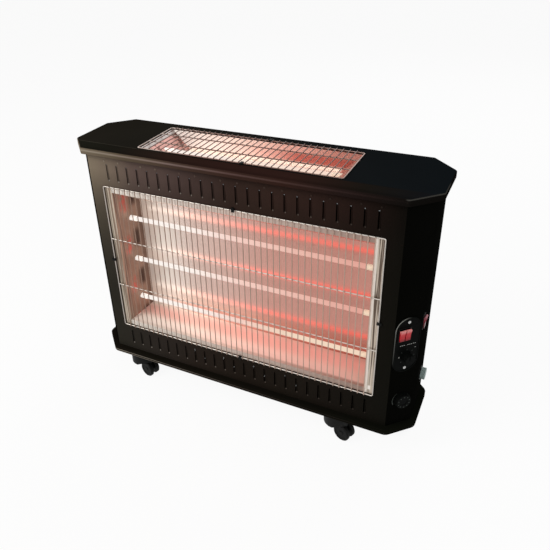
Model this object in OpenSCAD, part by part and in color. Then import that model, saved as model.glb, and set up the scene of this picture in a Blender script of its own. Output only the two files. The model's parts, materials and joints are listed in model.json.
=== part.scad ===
// Electric bar heater: an eight-sided upright steel casing on four swivel castors.
// Three quartz tubes shine forward out of a deep reflector, and a fourth shines upward.
// Millimetres. X is the width, the front faces -Y, and the floor is Z = 0.

/* [Casing] */
// Width of the casing walls, end face to end face
casing_w = 680; // [670:1:720]
// Depth of the casing walls, front to back
casing_d = 160; // [156:1:180]
// Height of the casing walls between base tray and cover
casing_h = 456; // [452:1:500]
// Leg of the 45 degree cut at each upright corner
corner_cut = 37; // [36:0.5:39]
// Thickness of the wall sheet
sheet = 1.2; // [0.9:0.1:1.5]
// Overhang of base tray and cover beyond the walls
overhang = 11; // [9:0.5:14]
// Height of the base tray's rim
tray_h = 14; // [12:0.5:18]
// Height of the cover's rim
cover_h = 13; // [11:0.5:16]
// Radius of the rolled outer edge of both rims
rim_roll = 3; // [2.5:0.5:5]
// Plan radius of the cover's eight corners
cover_corner = 5; // [4:0.5:10]
// Plan radius of the base tray's eight corners
tray_corner = 16; // [8:0.5:20]
// Width of the inner flange that the walls stand against
seat_flange = 12; // [8:0.5:13]

/* [Windows] */
// Width of the front panel that stands beside the front window, each side
window_side = 29.5; // [26:0.5:60]
// Height of the front window's sill above the base tray
window_sill = 66.5; // [60:0.5:80]
// Distance of the front window's top edge below the cover
window_head = 66.5; // [60:0.5:90]
// Distance of the top window from the casing's left end face
top_window_left = 140; // [125:1:160]
// Distance of the top window from the casing's right end face
top_window_right = 148; // [140:1:175]
// Distance of the top window from the casing's front face
top_window_front = 26; // [24:0.5:30]
// Distance of the top window from the casing's back face
top_window_back = 19; // [9:0.5:24]

/* [Louvres] */
// Number of slots in each row
louvre_count = 24; // [16:1:25]
// Distance of the first and the last slot from the panel's side edges
louvre_side = 42; // [30:1:60]
// Width of a slot
louvre_slot_w = 2.4; // [2:0.1:3.6]
// Height of a slot
louvre_h = 33; // [26:1:34]
// Radius of the raised lip beside a slot, at its lower end
louvre_lip_r = 1.3; // [1:0.1:1.5]
// Distance from the wall's top or bottom edge to the slot row
louvre_margin = 18; // [15:1:20]

/* [Reflectors] */
// Thickness of the reflector sheet
mirror_sheet = 0.8; // [0.5:0.1:1.2]
// Depth of the front reflector behind the front wall
mirror_depth = 65; // [62:1:70]
// Width of the reflector's flat lip that shows at each side of the window
lip_side = 14.5; // [10:0.5:20]
// Height of the flat lip that shows above the window's sill
lip_low = 11.5; // [8:0.5:16]
// Height of the flat lip that shows below the window's top edge
lip_high = 10.5; // [8:0.5:16]
// Rise of the reflector floor from front to back
mirror_floor_rise = 10; // [6:0.5:16]
// Drop of the reflector roof from front to back
mirror_roof_drop = 39; // [32:1:44]
// Narrowing of the reflector at each end, front to back
mirror_end_slope = 14; // [10:1:20]
// Width of the flange that lies behind the window's edge
mirror_flange = 7; // [5:0.5:8]
// Depth of the top reflector below the cover sheet
top_mirror_depth = 34; // [32:1:38]
// Narrowing of the top reflector at each end
top_mirror_end_slope = 41; // [36:1:46]
// Narrowing of the top reflector at front and back
top_mirror_side_slope = 6; // [4:1:12]

/* [Heating tubes] */
// Outer diameter of a quartz tube
tube_od = 9; // [8.4:0.1:12]
// Wall of a quartz tube
tube_wall = 1; // [0.8:0.1:1.2]
// Outer diameter of the heating coil inside
element_d = 5.4; // [4.4:0.1:5.8]
// Distance of the front tubes behind the front wall's outer face
tube_setback = 40; // [38:0.5:44]
// Height of the lowest front tube above the front window's sill
tube_low = 53.5; // [48:0.5:60]
// Distance of the highest front tube below the window's top edge
tube_high = 80.5; // [74:0.5:88]
// Depth of the top tube below the cover
top_tube_drop = 22; // [20:0.5:24]
// Wall of a ceramic end cap around the glass
cap_wall = 0.8; // [0.6:0.1:2]
// Length of glass covered by each cap
cap_grip = 12; // [8:0.5:16]
// Length of cap that shows inside the reflector
cap_show = 12; // [8:0.5:18]
// Diameter of the pin at each end of a heating coil
pin_d = 2.4; // [2:0.1:3]

/* [Bulkheads] */
// Distance from a window's side edge to the bulkhead behind it
bulkhead_gap = 12.5; // [10:0.5:14]
// Thickness of a bulkhead
bulkhead_sheet = 1.2; // [1:0.1:1.6]

/* [Guards] */
// Number of upright wires in the front guard
guard_count = 45; // [39:2:47]
// Distance of the outermost upright wires from the window's side edges
guard_side = 14; // [10:0.5:20]
// Height of the lower cross wire above the front window's sill
cross_low = 102; // [80:1:120]
// Distance of the upper cross wire below the front window's top edge
cross_high = 113; // [90:1:130]
// Number of wires across the top guard
top_guard_count = 31; // [25:2:33]
// Distance of the outermost top wires from the top window's ends
top_guard_side = 12.5; // [10:0.5:20]
// Distance of the top guard's long cross wires from the window's front and back
top_cross_inset = 36; // [30:1:50]
// Diameter of the thin guard wires
wire_d = 1.8; // [1.5:0.1:2.4]
// Diameter of the border wire
border_d = 2.4; // [2:0.1:3]
// Diameter of the long cross wires
cross_d = 2.2; // [1.8:0.1:2.6]
// Distance of the border wire's middle outside the window's edge
border_gap = 1.6; // [1.5:0.1:3]
// Radius of the border wire's corners
border_bend = 3; // [2.5:0.5:8]
// Width of a guard clip
clip_w = 5; // [4:0.5:6]

/* [Controls] */
// Distance of the control plate from the corner face's upright edges
plate_edge = 1.2; // [1:0.1:3]
// Height of the control plate
plate_h = 116; // [112:1:122]
// Thickness of the control plate
plate_t = 2.5; // [2:0.1:3.5]
// Height of the control plate's centre above the base tray
plate_z = 184.5; // [178:0.5:190]
// Width of the double rocker switch's frame
switch_w = 25; // [24:0.5:28]
// Height of a rocker switch's frame
switch_h = 28; // [28:0.5:30]
// Distance of the double rocker's centre above the plate's centre
switch_rise = 24.5; // [22:0.5:26]
// Sideways shift of the double rocker on the plate
switch_shift = -6.5; // [-7:0.1:3]
// Depth of a switch body behind the casing sheet
switch_depth = 23; // [18:1:24]
// Tilt of a rocker at rest
rocker_tilt = 8; // [6:0.5:9]
// Diameter of the selector knob
selector_d = 22; // [18:0.5:24]
// Height of the selector knob
selector_h = 13; // [10:0.5:16]
// Distance of the selector's centre below the plate's centre
selector_drop = 25.5; // [21:0.5:27]
// Diameter of the thermostat dial
dial_d = 31; // [26:0.5:34]
// Height of the thermostat dial
dial_h = 9; // [7:0.5:12]
// Height of the thermostat dial's centre above the base tray
dial_z = 58; // [52:1:64]
// Diameter of every knob spindle
spindle_d = 6; // [5:0.1:7]
// Width of the end rocker switch's frame
end_switch_w = 15; // [14:0.5:17]
// Height of the end rocker's centre above the base tray
end_switch_z = 219; // [214:1:226]
// Distance of the end rocker's centre in front of the casing's middle
end_switch_y = 31; // [29:0.5:32]
// Height of the end knob's centre above the base tray
end_knob_z = 73; // [60:1:110]
// Distance of the end knob's centre behind the casing's middle
end_knob_y = 8; // [4:0.5:16]
// Diameter of the end knob
end_knob_d = 22.5; // [16:0.5:24]

/* [Castors] */
// Height of the base tray's underside above the floor
castor_h = 60; // [58:0.5:70]
// Diameter of a castor wheel
wheel_d = 36; // [32:0.5:38]
// Width of each wheel of a twin-wheel castor
wheel_w = 8; // [5:0.5:9]
// Distance from the swivel axis to the wheel's axle
castor_trail = 19; // [18.5:0.5:30]
// Diameter of the castor's swivel housing
crown_d = 52; // [46:0.5:53]
// Height of the castor's swivel housing
crown_h = 24; // [22:0.5:26]
// Distance of the left castors' swivel axes from the casing's left end face
castor_left = 85; // [70:1:100]
// Distance of the right castors' swivel axes from the casing's right end face
castor_right = 135; // [120:1:160]
// Distance of all swivel axes from the casing's front and back faces
castor_inset = 19; // [14:0.5:30]
// Turn of the left castors at rest, towards the front
left_castor_turn = 15; // [0:5:90]
// Turn of the right castors at rest, towards the front
right_castor_turn = 20; // [0:5:90]

/* [Hidden] */
$fn = 48;

eps = 0.5;                 // overshoot of every cutting tool
seat_gap = 0.1;            // play between wire and sheet
past_all = 2000;           // longer than any piece
turn_gap = 0.05;           // radial play of every shaft in its bore
run_gap = 0.3;             // play between faces that move past each other
arc_steps = 3;             // facets in each plan corner of a rim
roll_steps = 3;            // facets in each rolled edge
lip_roll = 1;              // small rounding of the rims' other edge
crease_setback = 21;       // distance of the cover's crease behind the front face
crease_end = 18;           // distance of the crease's ends from the panel's side edges
crease_w = 0.7;
crease_depth = 0.3;
tray_vent_pitch = 36;
tray_vent_l = 70;
rail_t = 1.5;              // thickness of the rail behind the rivets
rail_h = 16;

base_z = castor_h;
tray_top = base_z + tray_h;
casing_top = tray_top + casing_h;
cover_top = casing_top + cover_h;
front_y = -casing_d / 2;
inner_front_y = front_y + sheet;
inner_back_y = casing_d / 2 - sheet;
flat_half = casing_w / 2 - corner_cut;
end_x = casing_w / 2;

window_half = flat_half - window_side;
window_low = tray_top + window_sill;
window_high = casing_top - window_head;
top_window_w = casing_w - top_window_left - top_window_right;
top_window_d = casing_d - top_window_front - top_window_back;
top_window_x = (top_window_left - top_window_right) / 2;
top_window_y = (top_window_front - top_window_back) / 2;
bulkhead_x = window_half + bulkhead_gap;

cap_d = tube_od + 2 * turn_gap + 2 * cap_wall;
tube_hole_d = cap_d + 2;   // hole in a reflector's end round a capped tube
tube_y = front_y + tube_setback;
tube_pitch = (window_high - tube_high - window_low - tube_low) / 2;
tube_zs = [for (i = [0:2]) window_low + tube_low + i * tube_pitch];
top_tube_z = cover_top - top_tube_drop;
top_tube_y = top_window_y;

// Mouth and back of both reflectors, and where the tubes cross their ends
mirror_mouth = window_half - lip_side;
mirror_base = mirror_mouth - mirror_end_slope;
mouth_low = window_low + lip_low;
mouth_high = window_high - lip_high;
front_cross = mirror_mouth - mirror_end_slope * (tube_y - inner_front_y) / mirror_depth;
top_mirror_mouth = top_window_w / 2;
top_mirror_base = top_mirror_mouth - top_mirror_end_slope;
top_cross = top_mirror_mouth - top_mirror_end_slope * (top_tube_drop - sheet) / top_mirror_depth;
top_mirror_z = cover_top - sheet;

bar_tail = 5;              // length of cap beyond the sheet that carries it
front_bar = [0, front_cross - cap_show, bulkhead_x + bulkhead_sheet + bar_tail];
top_hanger_x = top_mirror_mouth + 3;   // hangers stand just outside the trough's ends
top_bar = [top_window_x, top_cross - cap_show, top_hanger_x + bulkhead_sheet + bar_tail];

function oct_vertex(inset, i) =
  let (hw = casing_w / 2 - inset, hd = casing_d / 2 - inset, c = corner_cut - inset * (2 - sqrt(2)))
  [[hw - c, -hd], [hw, -hd + c], [hw, hd - c], [hw - c, hd],
   [-hw + c, hd], [-hw, hd - c], [-hw, -hd + c], [-hw + c, -hd]][i];
function plan_ring(inset, r) =
  [for (i = [0:7], k = [0:arc_steps])
    let (a = 45 * (i - 2) + 45 * k / arc_steps)
    oct_vertex(inset + r, i) + r * [cos(a), sin(a)]];
function rolled_profile(inset, z0, z1, low, high) = concat(
  [for (k = [0:roll_steps]) let (a = 90 * k / roll_steps) [inset + low * (1 - sin(a)), z0 + low * (1 - cos(a))]],
  [for (k = [0:roll_steps]) let (a = 90 * k / roll_steps) [inset + high * (1 - cos(a)), z1 - high * (1 - sin(a))]]);

// Eight-sided block with rolled lower and upper edges
module rim_block(inset, corner, z0, z1, low, high) {
  rows = rolled_profile(inset, z0, z1, low, high);
  n = 8 * (arc_steps + 1);
  points = [for (row = rows) for (p = plan_ring(row[0], corner)) [p[0], p[1], row[1]]];
  sides = [for (i = [0:len(rows) - 2], j = [0:n - 1])
    [i * n + j, (i + 1) * n + j, (i + 1) * n + (j + 1) % n, i * n + (j + 1) % n]];
  floor_face = [[for (j = [0:n - 1]) j]];
  roof_face = [[for (j = [0:n - 1]) len(rows) * n - 1 - j]];
  polyhedron(points = points, faces = concat(sides, floor_face, roof_face));
}

module seat_opening(z0, z1) translate([0, 0, z0])
  linear_extrude(z1 - z0) polygon([for (i = [0:7]) oct_vertex(seat_flange, i)]);

module wall_plan() difference() {
  polygon([for (i = [0:7]) oct_vertex(0, i)]);
  polygon([for (i = [0:7]) oct_vertex(sheet, i)]);
}

// Straight round bar from p to q
module rod(p, q, d) {
  v = q - p;
  translate(p) rotate([0, acos(v[2] / norm(v)), atan2(v[1], v[0])]) cylinder(h = norm(v), d = d, $fn = 24);
}

// Wire through a list of points, with a ball at each bend
module wire_path(points, d) {
  for (i = [0:len(points) - 2]) rod(points[i], points[i + 1], d);
  for (i = [1:len(points) - 2]) translate(points[i]) sphere(d = d * 1.03, $fn = 24);
}

// Four-sided hopper: open at Z = 0, narrowing to its base at -depth
module hopper(x_open, x_base, y_open, y_base, depth, grow) {
  intersection() {
    hopper_sides(x_open, x_base, y_open, y_base, depth, grow);
    rotate([90, 0, 90]) linear_extrude(past_all, center = true) polygon([
      [y_open[0] - grow, 0], [y_open[1] + grow, 0], [y_base[1] + grow, -depth - grow], [y_base[0] - grow, -depth - grow]]);
  }
}
module hopper_sides(x_open, x_base, y_open, y_base, depth, grow)
  rotate([90, 0, 0]) linear_extrude(past_all, center = true) polygon([
    [x_open[0] - grow, 0], [x_open[1] + grow, 0], [x_base[1] + grow, -depth - grow], [x_base[0] - grow, -depth - grow]]);

// ---------------------------------------------------------------- casing

module base_tray() color("#2b2826") difference() {
  rim_block(-overhang, tray_corner, base_z, tray_top, rim_roll, lip_roll);
  rim_block(sheet - overhang, tray_corner, base_z + sheet, tray_top - sheet, rim_roll - sheet, lip_roll);
  seat_opening(tray_top - 2 * sheet, tray_top + eps);
  for (p = castor_places) translate([p[0], p[1], base_z - eps]) cylinder(h = sheet + 2 * eps, d = stem_d + 2 * turn_gap);
  for (i = [-4:4]) translate([i * tray_vent_pitch, 0, base_z]) cube([5, tray_vent_l, 4 * sheet], center = true);
}

module top_cover() color("#262424") {
  crease_half = flat_half - crease_end;
  difference() {
    rim_block(-overhang, cover_corner, casing_top, cover_top, lip_roll, rim_roll);
    rim_block(sheet - overhang, cover_corner, casing_top + sheet, cover_top - sheet, lip_roll, rim_roll - sheet);
    seat_opening(casing_top - eps, casing_top + 2 * sheet);
    translate([top_window_x, top_window_y, cover_top]) cube([top_window_w, top_window_d, 4 * sheet], center = true);
    translate([-crease_half, front_y + crease_setback, cover_top - crease_depth])
      cube([2 * crease_half, crease_w, crease_depth + eps]);
  }
}

louvre_pitch = 2 * (flat_half - louvre_side) / (louvre_count - 1);
louvre_xs = [for (i = [0:louvre_count - 1]) louvre_side - flat_half + i * louvre_pitch];
louvre_zs = [tray_top + louvre_margin, casing_top - louvre_margin - louvre_h];
rivet_drop = 12;           // distance of the rivets below the cover
rivet_side = 54.6;         // distance of the outermost rivet pairs from the panel's side edges
rivet_pair = 32;           // distance between the two rivets of a pair
rivet_pairs = 7;
rivet_z = casing_top - rivet_drop;
rivet_xs = [for (i = [0:rivet_pairs - 1], s = [-1, 1])
  rivet_side - flat_half + i * 2 * (flat_half - rivet_side) / (rivet_pairs - 1) + s * rivet_pair / 2];
rivet_d = 2.4;
rivet_head_d = 3.6;
rivet_head_t = 0.7;

module front_panel() color("#3a342f") {
  difference() {
    translate([0, 0, tray_top]) linear_extrude(casing_h) intersection() {
      wall_plan();
      translate([-flat_half, front_y - eps]) square([2 * flat_half, eps + sheet]);
    }
    translate([-window_half, front_y - eps, window_low])
      cube([2 * window_half, sheet + 2 * eps, window_high - window_low]);
    for (z = louvre_zs, x = louvre_xs)
      translate([x - louvre_slot_w / 2, front_y - eps, z]) cube([louvre_slot_w, sheet + 2 * eps, louvre_h]);
    for (x = rivet_xs) translate([x, front_y - eps, rivet_z]) rotate([-90, 0, 0])
      cylinder(h = sheet + 2 * eps, d = rivet_d + 2 * turn_gap, $fn = 24);
  }
  for (z = louvre_zs, x = louvre_xs) translate([x + louvre_slot_w / 2 + louvre_lip_r, front_y, z]) {
    cylinder(h = louvre_h, r1 = louvre_lip_r, r2 = louvre_lip_r / 3, $fn = 16);
    sphere(r = louvre_lip_r, $fn = 16);
  }
}

inlet_x = bulkhead_x - 34;
inlet_z = tray_top + 26;
inlet_body_d = 16;
inlet_bore_d = 8.4;
back_screw_places = [for (x = [-flat_half + 10, 0, flat_half - 10], z = [tray_top + 12, casing_top - 12]) [x, z]];
screw_d = 3.5;

module back_panel() color("#2b2826") difference() {
  translate([0, 0, tray_top]) linear_extrude(casing_h) intersection() {
    wall_plan();
    translate([-flat_half, inner_back_y]) square([2 * flat_half, eps + sheet]);
  }
  for (z = [tray_top + 60, casing_top - 90], i = [-8:8])
    translate([i * 28 - 1.5, inner_back_y - eps, z]) cube([3, sheet + 2 * eps, 40]);
  translate([inlet_x, inner_back_y - eps, inlet_z]) rotate([-90, 0, 0])
    cylinder(h = sheet + 2 * eps, d = inlet_body_d + 2 * turn_gap);
  for (p = back_screw_places) translate([p[0], inner_back_y - eps, p[1]]) rotate([-90, 0, 0])
    cylinder(h = sheet + 2 * eps, d = screw_d + 2 * turn_gap, $fn = 24);
}

// One end of the casing: two corner faces, the end face and the flanges behind front and back
module end_wall(side) {
  flange_w = 13;
  union() {
    translate([0, 0, tray_top]) linear_extrude(casing_h) intersection() {
      wall_plan();
      translate([side > 0 ? flat_half : -end_x - eps, front_y - eps]) square([corner_cut + eps, casing_d + 2 * eps]);
    }
    for (y = [inner_front_y, inner_back_y - sheet])
      translate([side > 0 ? flat_half - flange_w : -flat_half - sheet, y, tray_top]) cube([flange_w + sheet, sheet, casing_h]);
  }
}

module flange_screw_holes(side) for (p = back_screw_places) if (p[0] * side > 0)
  translate([p[0], inner_back_y - sheet - eps, p[1]]) rotate([-90, 0, 0])
    cylinder(h = sheet + 2 * eps, d = screw_d + 2 * turn_gap, $fn = 24);

module left_end_panel() color("#1d1c1b") difference() {
  end_wall(-1);
  flange_screw_holes(-1);
}

// Local frame on the right front corner face: X along the face, -Y outward, Z up
module on_corner(u, z) translate([(flat_half + end_x) / 2, front_y + corner_cut / 2, tray_top])
  rotate([0, 0, 45]) translate([u, 0, z]) children();
// Local frame on the right end face: X towards the back, -Y outward, Z up
module on_end(u, z) translate([end_x, 0, tray_top]) rotate([0, 0, 90]) translate([u, 0, z]) children();
// Round bar or bore along local Y, from y0 to y1
module turned(y0, y1, d, facets = 48) translate([0, y0, 0]) rotate([-90, 0, 0]) cylinder(h = y1 - y0, d = d, $fn = facets);

plate_w = corner_cut * sqrt(2) - 2 * plate_edge;
plate_u = -0.8;
selector_shift = 2.3;      // sideways shift of the selector on the plate
plate_face = -plate_t + 0.8;   // face of the plate inside its raised border
plate_screw_rise = plate_h / 2 - 9;
switch_wall = 1;
cutout_gap = 0.25;
switch_body_h = switch_h - 3;
bush_d = 10;

module right_end_panel() color("#1d1c1b") difference() {
  end_wall(1);
  flange_screw_holes(1);
  on_corner(plate_u + switch_shift, plate_z + switch_rise)
    cube([switch_w - 2 + 2 * cutout_gap, 6 * sheet, switch_body_h + 2 * cutout_gap], center = true);
  on_corner(plate_u + selector_shift, plate_z - selector_drop) turned(-eps, sheet + eps, bush_d + 2 * turn_gap);
  on_corner(dial_u, dial_z) turned(-eps, sheet + eps, bush_d + 2 * turn_gap);
  for (s = [-1, 1]) on_corner(plate_u, plate_z + s * plate_screw_rise) turned(-eps, sheet + eps, screw_d + 2 * turn_gap);
  on_end(-end_switch_y, end_switch_z)
    cube([end_switch_w - 2 + 2 * cutout_gap, 6 * sheet, switch_body_h + 2 * cutout_gap], center = true);
  on_end(end_knob_y, end_knob_z) turned(-eps, sheet + eps, bush_d + 2 * turn_gap);
}

// ---------------------------------------------------------------- inner frame

grommet_d = 8;
grommet_low = [20, tray_top + 32];
grommet_supply = [55, tray_top + 22];
grommet_top = [-20, top_tube_z - 2];
duct_w = 50;               // width of the air ducts through a bulkhead
duct_spans = [[window_low - 10, window_low + 50], [window_high - 140, window_high - 40]];

module bulkhead(side) translate([side > 0 ? bulkhead_x : -bulkhead_x - bulkhead_sheet, 0, 0]) difference() {
  translate([0, inner_front_y, tray_top]) cube([bulkhead_sheet, inner_back_y - inner_front_y, casing_h]);
  for (z = tube_zs) translate([-eps, tube_y, z]) rotate([0, 90, 0])
    cylinder(h = bulkhead_sheet + 2 * eps, d = cap_d + 2 * turn_gap);
  for (p = [grommet_low, grommet_supply, grommet_top]) translate([-eps, p[0], p[1]]) rotate([0, 90, 0])
    cylinder(h = bulkhead_sheet + 2 * eps, d = grommet_d);
  for (span = duct_spans) translate([-eps, 0, span[0]]) cube([bulkhead_sheet + 2 * eps, duct_w, span[1] - span[0]]);
}
module left_bulkhead() color("#8f9294") bulkhead(-1);
module right_bulkhead() color("#8f9294") bulkhead(1);

module front_rail() color("#8f9294") difference() {
  translate([-bulkhead_x, inner_front_y, rivet_z - rail_h / 2]) cube([2 * bulkhead_x, rail_t, rail_h]);
  for (x = rivet_xs) translate([x, inner_front_y - eps, rivet_z]) rotate([-90, 0, 0])
    cylinder(h = rail_t + 2 * eps, d = rivet_d + 2 * turn_gap, $fn = 24);
}

module panel_rivets() color("#4a453f") for (x = rivet_xs) translate([x, 0, rivet_z]) {
  turned(front_y, inner_front_y + rail_t + rivet_head_t, rivet_d, 24);
  turned(front_y - rivet_head_t, front_y, rivet_head_d, 24);
}

module back_screws() color("#6f6f6f") for (p = back_screw_places) translate([p[0], 0, p[1]]) {
  turned(inner_back_y - 7, casing_d / 2, screw_d, 24);
  turned(casing_d / 2, casing_d / 2 + 2, 7, 24);
}

// ---------------------------------------------------------------- reflectors

wedge_slope = mirror_end_slope / mirror_depth;
flange_low = window_low - mirror_flange;
flange_high = window_high + mirror_flange;

module mirror_hopper(grow) translate([0, inner_front_y, 0]) rotate([90, 0, 0])
  hopper([-mirror_mouth, mirror_mouth], [-mirror_base, mirror_base], [mouth_low, mouth_high],
         [mouth_low + mirror_floor_rise, mouth_high - mirror_roof_drop], mirror_depth, grow);
module mirror_sheet_all() difference() {
  mirror_hopper(mirror_sheet);
  mirror_hopper(0);
}

// Floor, back and roof in one piece, with the flat lips above and below the mouth
module main_reflector() color("#d9d4cf") {
  reach = mirror_depth + 5;
  intersection() {
    mirror_sheet_all();
    translate([0, inner_front_y, 0]) linear_extrude(past_all, center = false) polygon([
      [-mirror_mouth, 0], [mirror_mouth, 0],
      [mirror_mouth - wedge_slope * reach, reach], [-mirror_mouth + wedge_slope * reach, reach]]);
  }
  for (span = [[flange_low, mouth_low], [mouth_high, flange_high]])
    translate([-mirror_mouth + mirror_sheet / 2, inner_front_y, span[0]])
      cube([2 * mirror_mouth - mirror_sheet, mirror_sheet, span[1] - span[0]]);
}

// End plate with its flat lip and a round hole for each capped tube
module reflector_end(side) {
  reach = mirror_depth + 5;
  difference() {
    mirror_sheet_all();
    translate([0, inner_front_y, 0]) linear_extrude(past_all) polygon([
      [side * 2 * mirror_mouth * -1, -5], [side * mirror_mouth + side * wedge_slope * 5, -5],
      [side * (mirror_mouth - wedge_slope * reach), reach], [side * 2 * mirror_mouth * -1, reach]]);
    for (z = tube_zs) translate([0, tube_y, z]) rotate([0, 90, 0]) cylinder(h = past_all, d = tube_hole_d, center = true);
  }
  translate([side > 0 ? mirror_mouth + mirror_sheet / 2 : -window_half - mirror_flange, inner_front_y, flange_low])
    cube([window_half + mirror_flange - mirror_mouth - mirror_sheet / 2, mirror_sheet, flange_high - flange_low]);
}
module left_reflector_end() color("#cfc9c4") reflector_end(-1);
module right_reflector_end() color("#cfc9c4") reflector_end(1);

module top_hopper(grow) translate([top_window_x, top_window_y, top_mirror_z])
  hopper([-top_mirror_mouth, top_mirror_mouth], [-top_mirror_base, top_mirror_base],
         [-top_window_d / 2, top_window_d / 2],
         [-top_window_d / 2 + top_mirror_side_slope, top_window_d / 2 - top_mirror_side_slope], top_mirror_depth, grow);

module top_reflector() color("#d9d4cf") difference() {
  union() {
    difference() {
      top_hopper(mirror_sheet);
      top_hopper(0);
    }
    // rim under the cover sheet, running out to both hangers
    translate([top_window_x, top_window_y, top_mirror_z - mirror_sheet / 2]) difference() {
      cube([2 * top_hanger_x + 2 * bulkhead_sheet, top_window_d + 8, mirror_sheet], center = true);
      cube([top_window_w, top_window_d, 2], center = true);
    }
    // hangers that carry the tube's caps
    for (s = [-1, 1]) translate([top_window_x + s * (top_hanger_x + bulkhead_sheet / 2), top_window_y, top_mirror_z])
      translate([-bulkhead_sheet / 2, -14, -top_tube_drop - 10]) cube([bulkhead_sheet, 28, top_tube_drop + 10]);
  }
  for (s = [-1, 1]) translate([top_window_x + s * top_cross, top_tube_y, top_tube_z]) rotate([0, 90, 0])
    cylinder(h = 2 * top_mirror_end_slope / 3, d = tube_hole_d, center = true);
  translate([top_window_x, top_tube_y, top_tube_z]) rotate([0, 90, 0])
    cylinder(h = 4 * top_hanger_x, d = cap_d + 2 * turn_gap, center = true);
}

// ---------------------------------------------------------------- heating tubes
// A bar is [middle, inner end of its caps, outer end of its caps] along X

module glass(bar, y, z) translate([bar[0], y, z]) rotate([0, 90, 0]) difference() {
  cylinder(h = 2 * (bar[1] + cap_grip), d = tube_od, center = true);
  cylinder(h = 2 * (bar[1] + cap_grip) + 2 * eps, d = tube_od - 2 * tube_wall, center = true);
}
module element(bar, y, z) translate([bar[0], y, z]) rotate([0, 90, 0]) {
  cylinder(h = 2 * bar[1], d = element_d, center = true);
  cylinder(h = 2 * (bar[2] + 4), d = pin_d, center = true, $fn = 24);
}
module end_caps(bar, y, z) for (s = [-1, 1]) translate([bar[0] + s * bar[1], y, z]) rotate([0, s * 90, 0]) difference() {
  cylinder(h = bar[2] - bar[1], d = cap_d);
  translate([0, 0, -eps]) cylinder(h = cap_grip + eps + seat_gap, d = tube_od + 2 * turn_gap);
  cylinder(h = bar[2] - bar[1] + eps, d = pin_d + 2 * turn_gap, $fn = 24);
}

module tube_1() color("#ffe9df") glass(front_bar, tube_y, tube_zs[0]);
module tube_2() color("#ffe9df") glass(front_bar, tube_y, tube_zs[1]);
module tube_3() color("#ffe9df") glass(front_bar, tube_y, tube_zs[2]);
module top_tube() color("#ffe9df") glass(top_bar, top_tube_y, top_tube_z);
module element_1() color("#ff7a4a") element(front_bar, tube_y, tube_zs[0]);
module element_2() color("#ff7a4a") element(front_bar, tube_y, tube_zs[1]);
module element_3() color("#ff7a4a") element(front_bar, tube_y, tube_zs[2]);
module top_element() color("#ff7a4a") element(top_bar, top_tube_y, top_tube_z);
module front_tube_caps() color("#f4f1ea") for (z = tube_zs) end_caps(front_bar, tube_y, z);
module top_tube_caps() color("#f4f1ea") end_caps(top_bar, top_tube_y, top_tube_z);

// ---------------------------------------------------------------- guards
// A guard lies in its own XY plane with the casing's face at Z = 0

border_lift = border_d / 2 + seat_gap;
wire_lift = border_lift + border_d / 2 + wire_d / 2 + seat_gap / 2;
cross_lift = wire_lift - wire_d / 2 - cross_d / 2 - seat_gap / 2;
guard_pitch = 2 * (window_half - guard_side) / (guard_count - 1);
top_guard_pitch = (top_window_w - 2 * top_guard_side) / (top_guard_count - 1);

module guard_frame(w, h, cross_ys) {
  hw = w / 2 + border_gap;
  hh = h / 2 + border_gap;
  for (s = [-1, 1]) {
    translate([0, s * hh, border_lift]) rotate([0, 90, 0])
      cylinder(h = 2 * (hw - border_bend), d = border_d, center = true, $fn = 24);
    translate([s * hw, 0, border_lift]) rotate([90, 0, 0])
      cylinder(h = 2 * (hh - border_bend), d = border_d, center = true, $fn = 24);
  }
  for (i = [0:3]) translate([(i == 0 || i == 3 ? 1 : -1) * (hw - border_bend), (i < 2 ? 1 : -1) * (hh - border_bend), border_lift])
    rotate([0, 0, 90 * i]) rotate_extrude(angle = 90, $fn = 48) translate([border_bend, 0]) circle(d = border_d, $fn = 24);
  for (y = cross_ys) translate([0, y, cross_lift]) rotate([0, 90, 0])
    cylinder(h = 2 * hw, d = cross_d, center = true, $fn = 24);
}

// Thin wires across the guard, laid on the border wire at both ends
module guard_wires(count, pitch, h) {
  reach = h / 2 + border_gap + border_d / 2;
  for (i = [0:count - 1]) let (x = (i - (count - 1) / 2) * pitch)
    rod([x, -reach, wire_lift], [x, reach, wire_lift], wire_d);
}

window_h = window_high - window_low;
module on_front() translate([0, front_y, (window_low + window_high) / 2]) rotate([90, 0, 0]) children();
module on_top() translate([top_window_x, top_window_y, cover_top]) children();

module front_guard_frame() color("#d8d8da") on_front()
  guard_frame(2 * window_half, window_h, [cross_low - window_h / 2, window_h / 2 - cross_high]);
module front_guard_wires() color("#d8d8da") on_front() guard_wires(guard_count, guard_pitch, window_h);
module top_guard_frame() color("#d8d8da") on_top()
  guard_frame(top_window_w, top_window_d, [top_cross_inset - top_window_d / 2, top_window_d / 2 - top_cross_inset]);
module top_guard_wires() color("#d8d8da") on_top() guard_wires(top_guard_count, top_guard_pitch, top_window_d);

// A clip stands on the casing and holds the border wire, which runs along local X
module clip() {
  clip_wall = 1.4;
  clip_foot = 4;           // length of the clip's foot outside the border wire
  difference() {
    translate([-clip_w / 2, -border_d / 2 - clip_wall, 0])
      cube([clip_w, border_d + clip_wall + clip_foot, border_d + seat_gap + clip_wall]);
    translate([0, 0, border_lift]) rotate([0, 90, 0])
      cylinder(h = clip_w + 2 * eps, d = border_d + 2 * turn_gap, center = true, $fn = 24);
    translate([-clip_w, -border_d / 2 - turn_gap, -eps]) cube([2 * clip_w, border_d + 2 * turn_gap, border_lift + eps]);
  }
}
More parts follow.
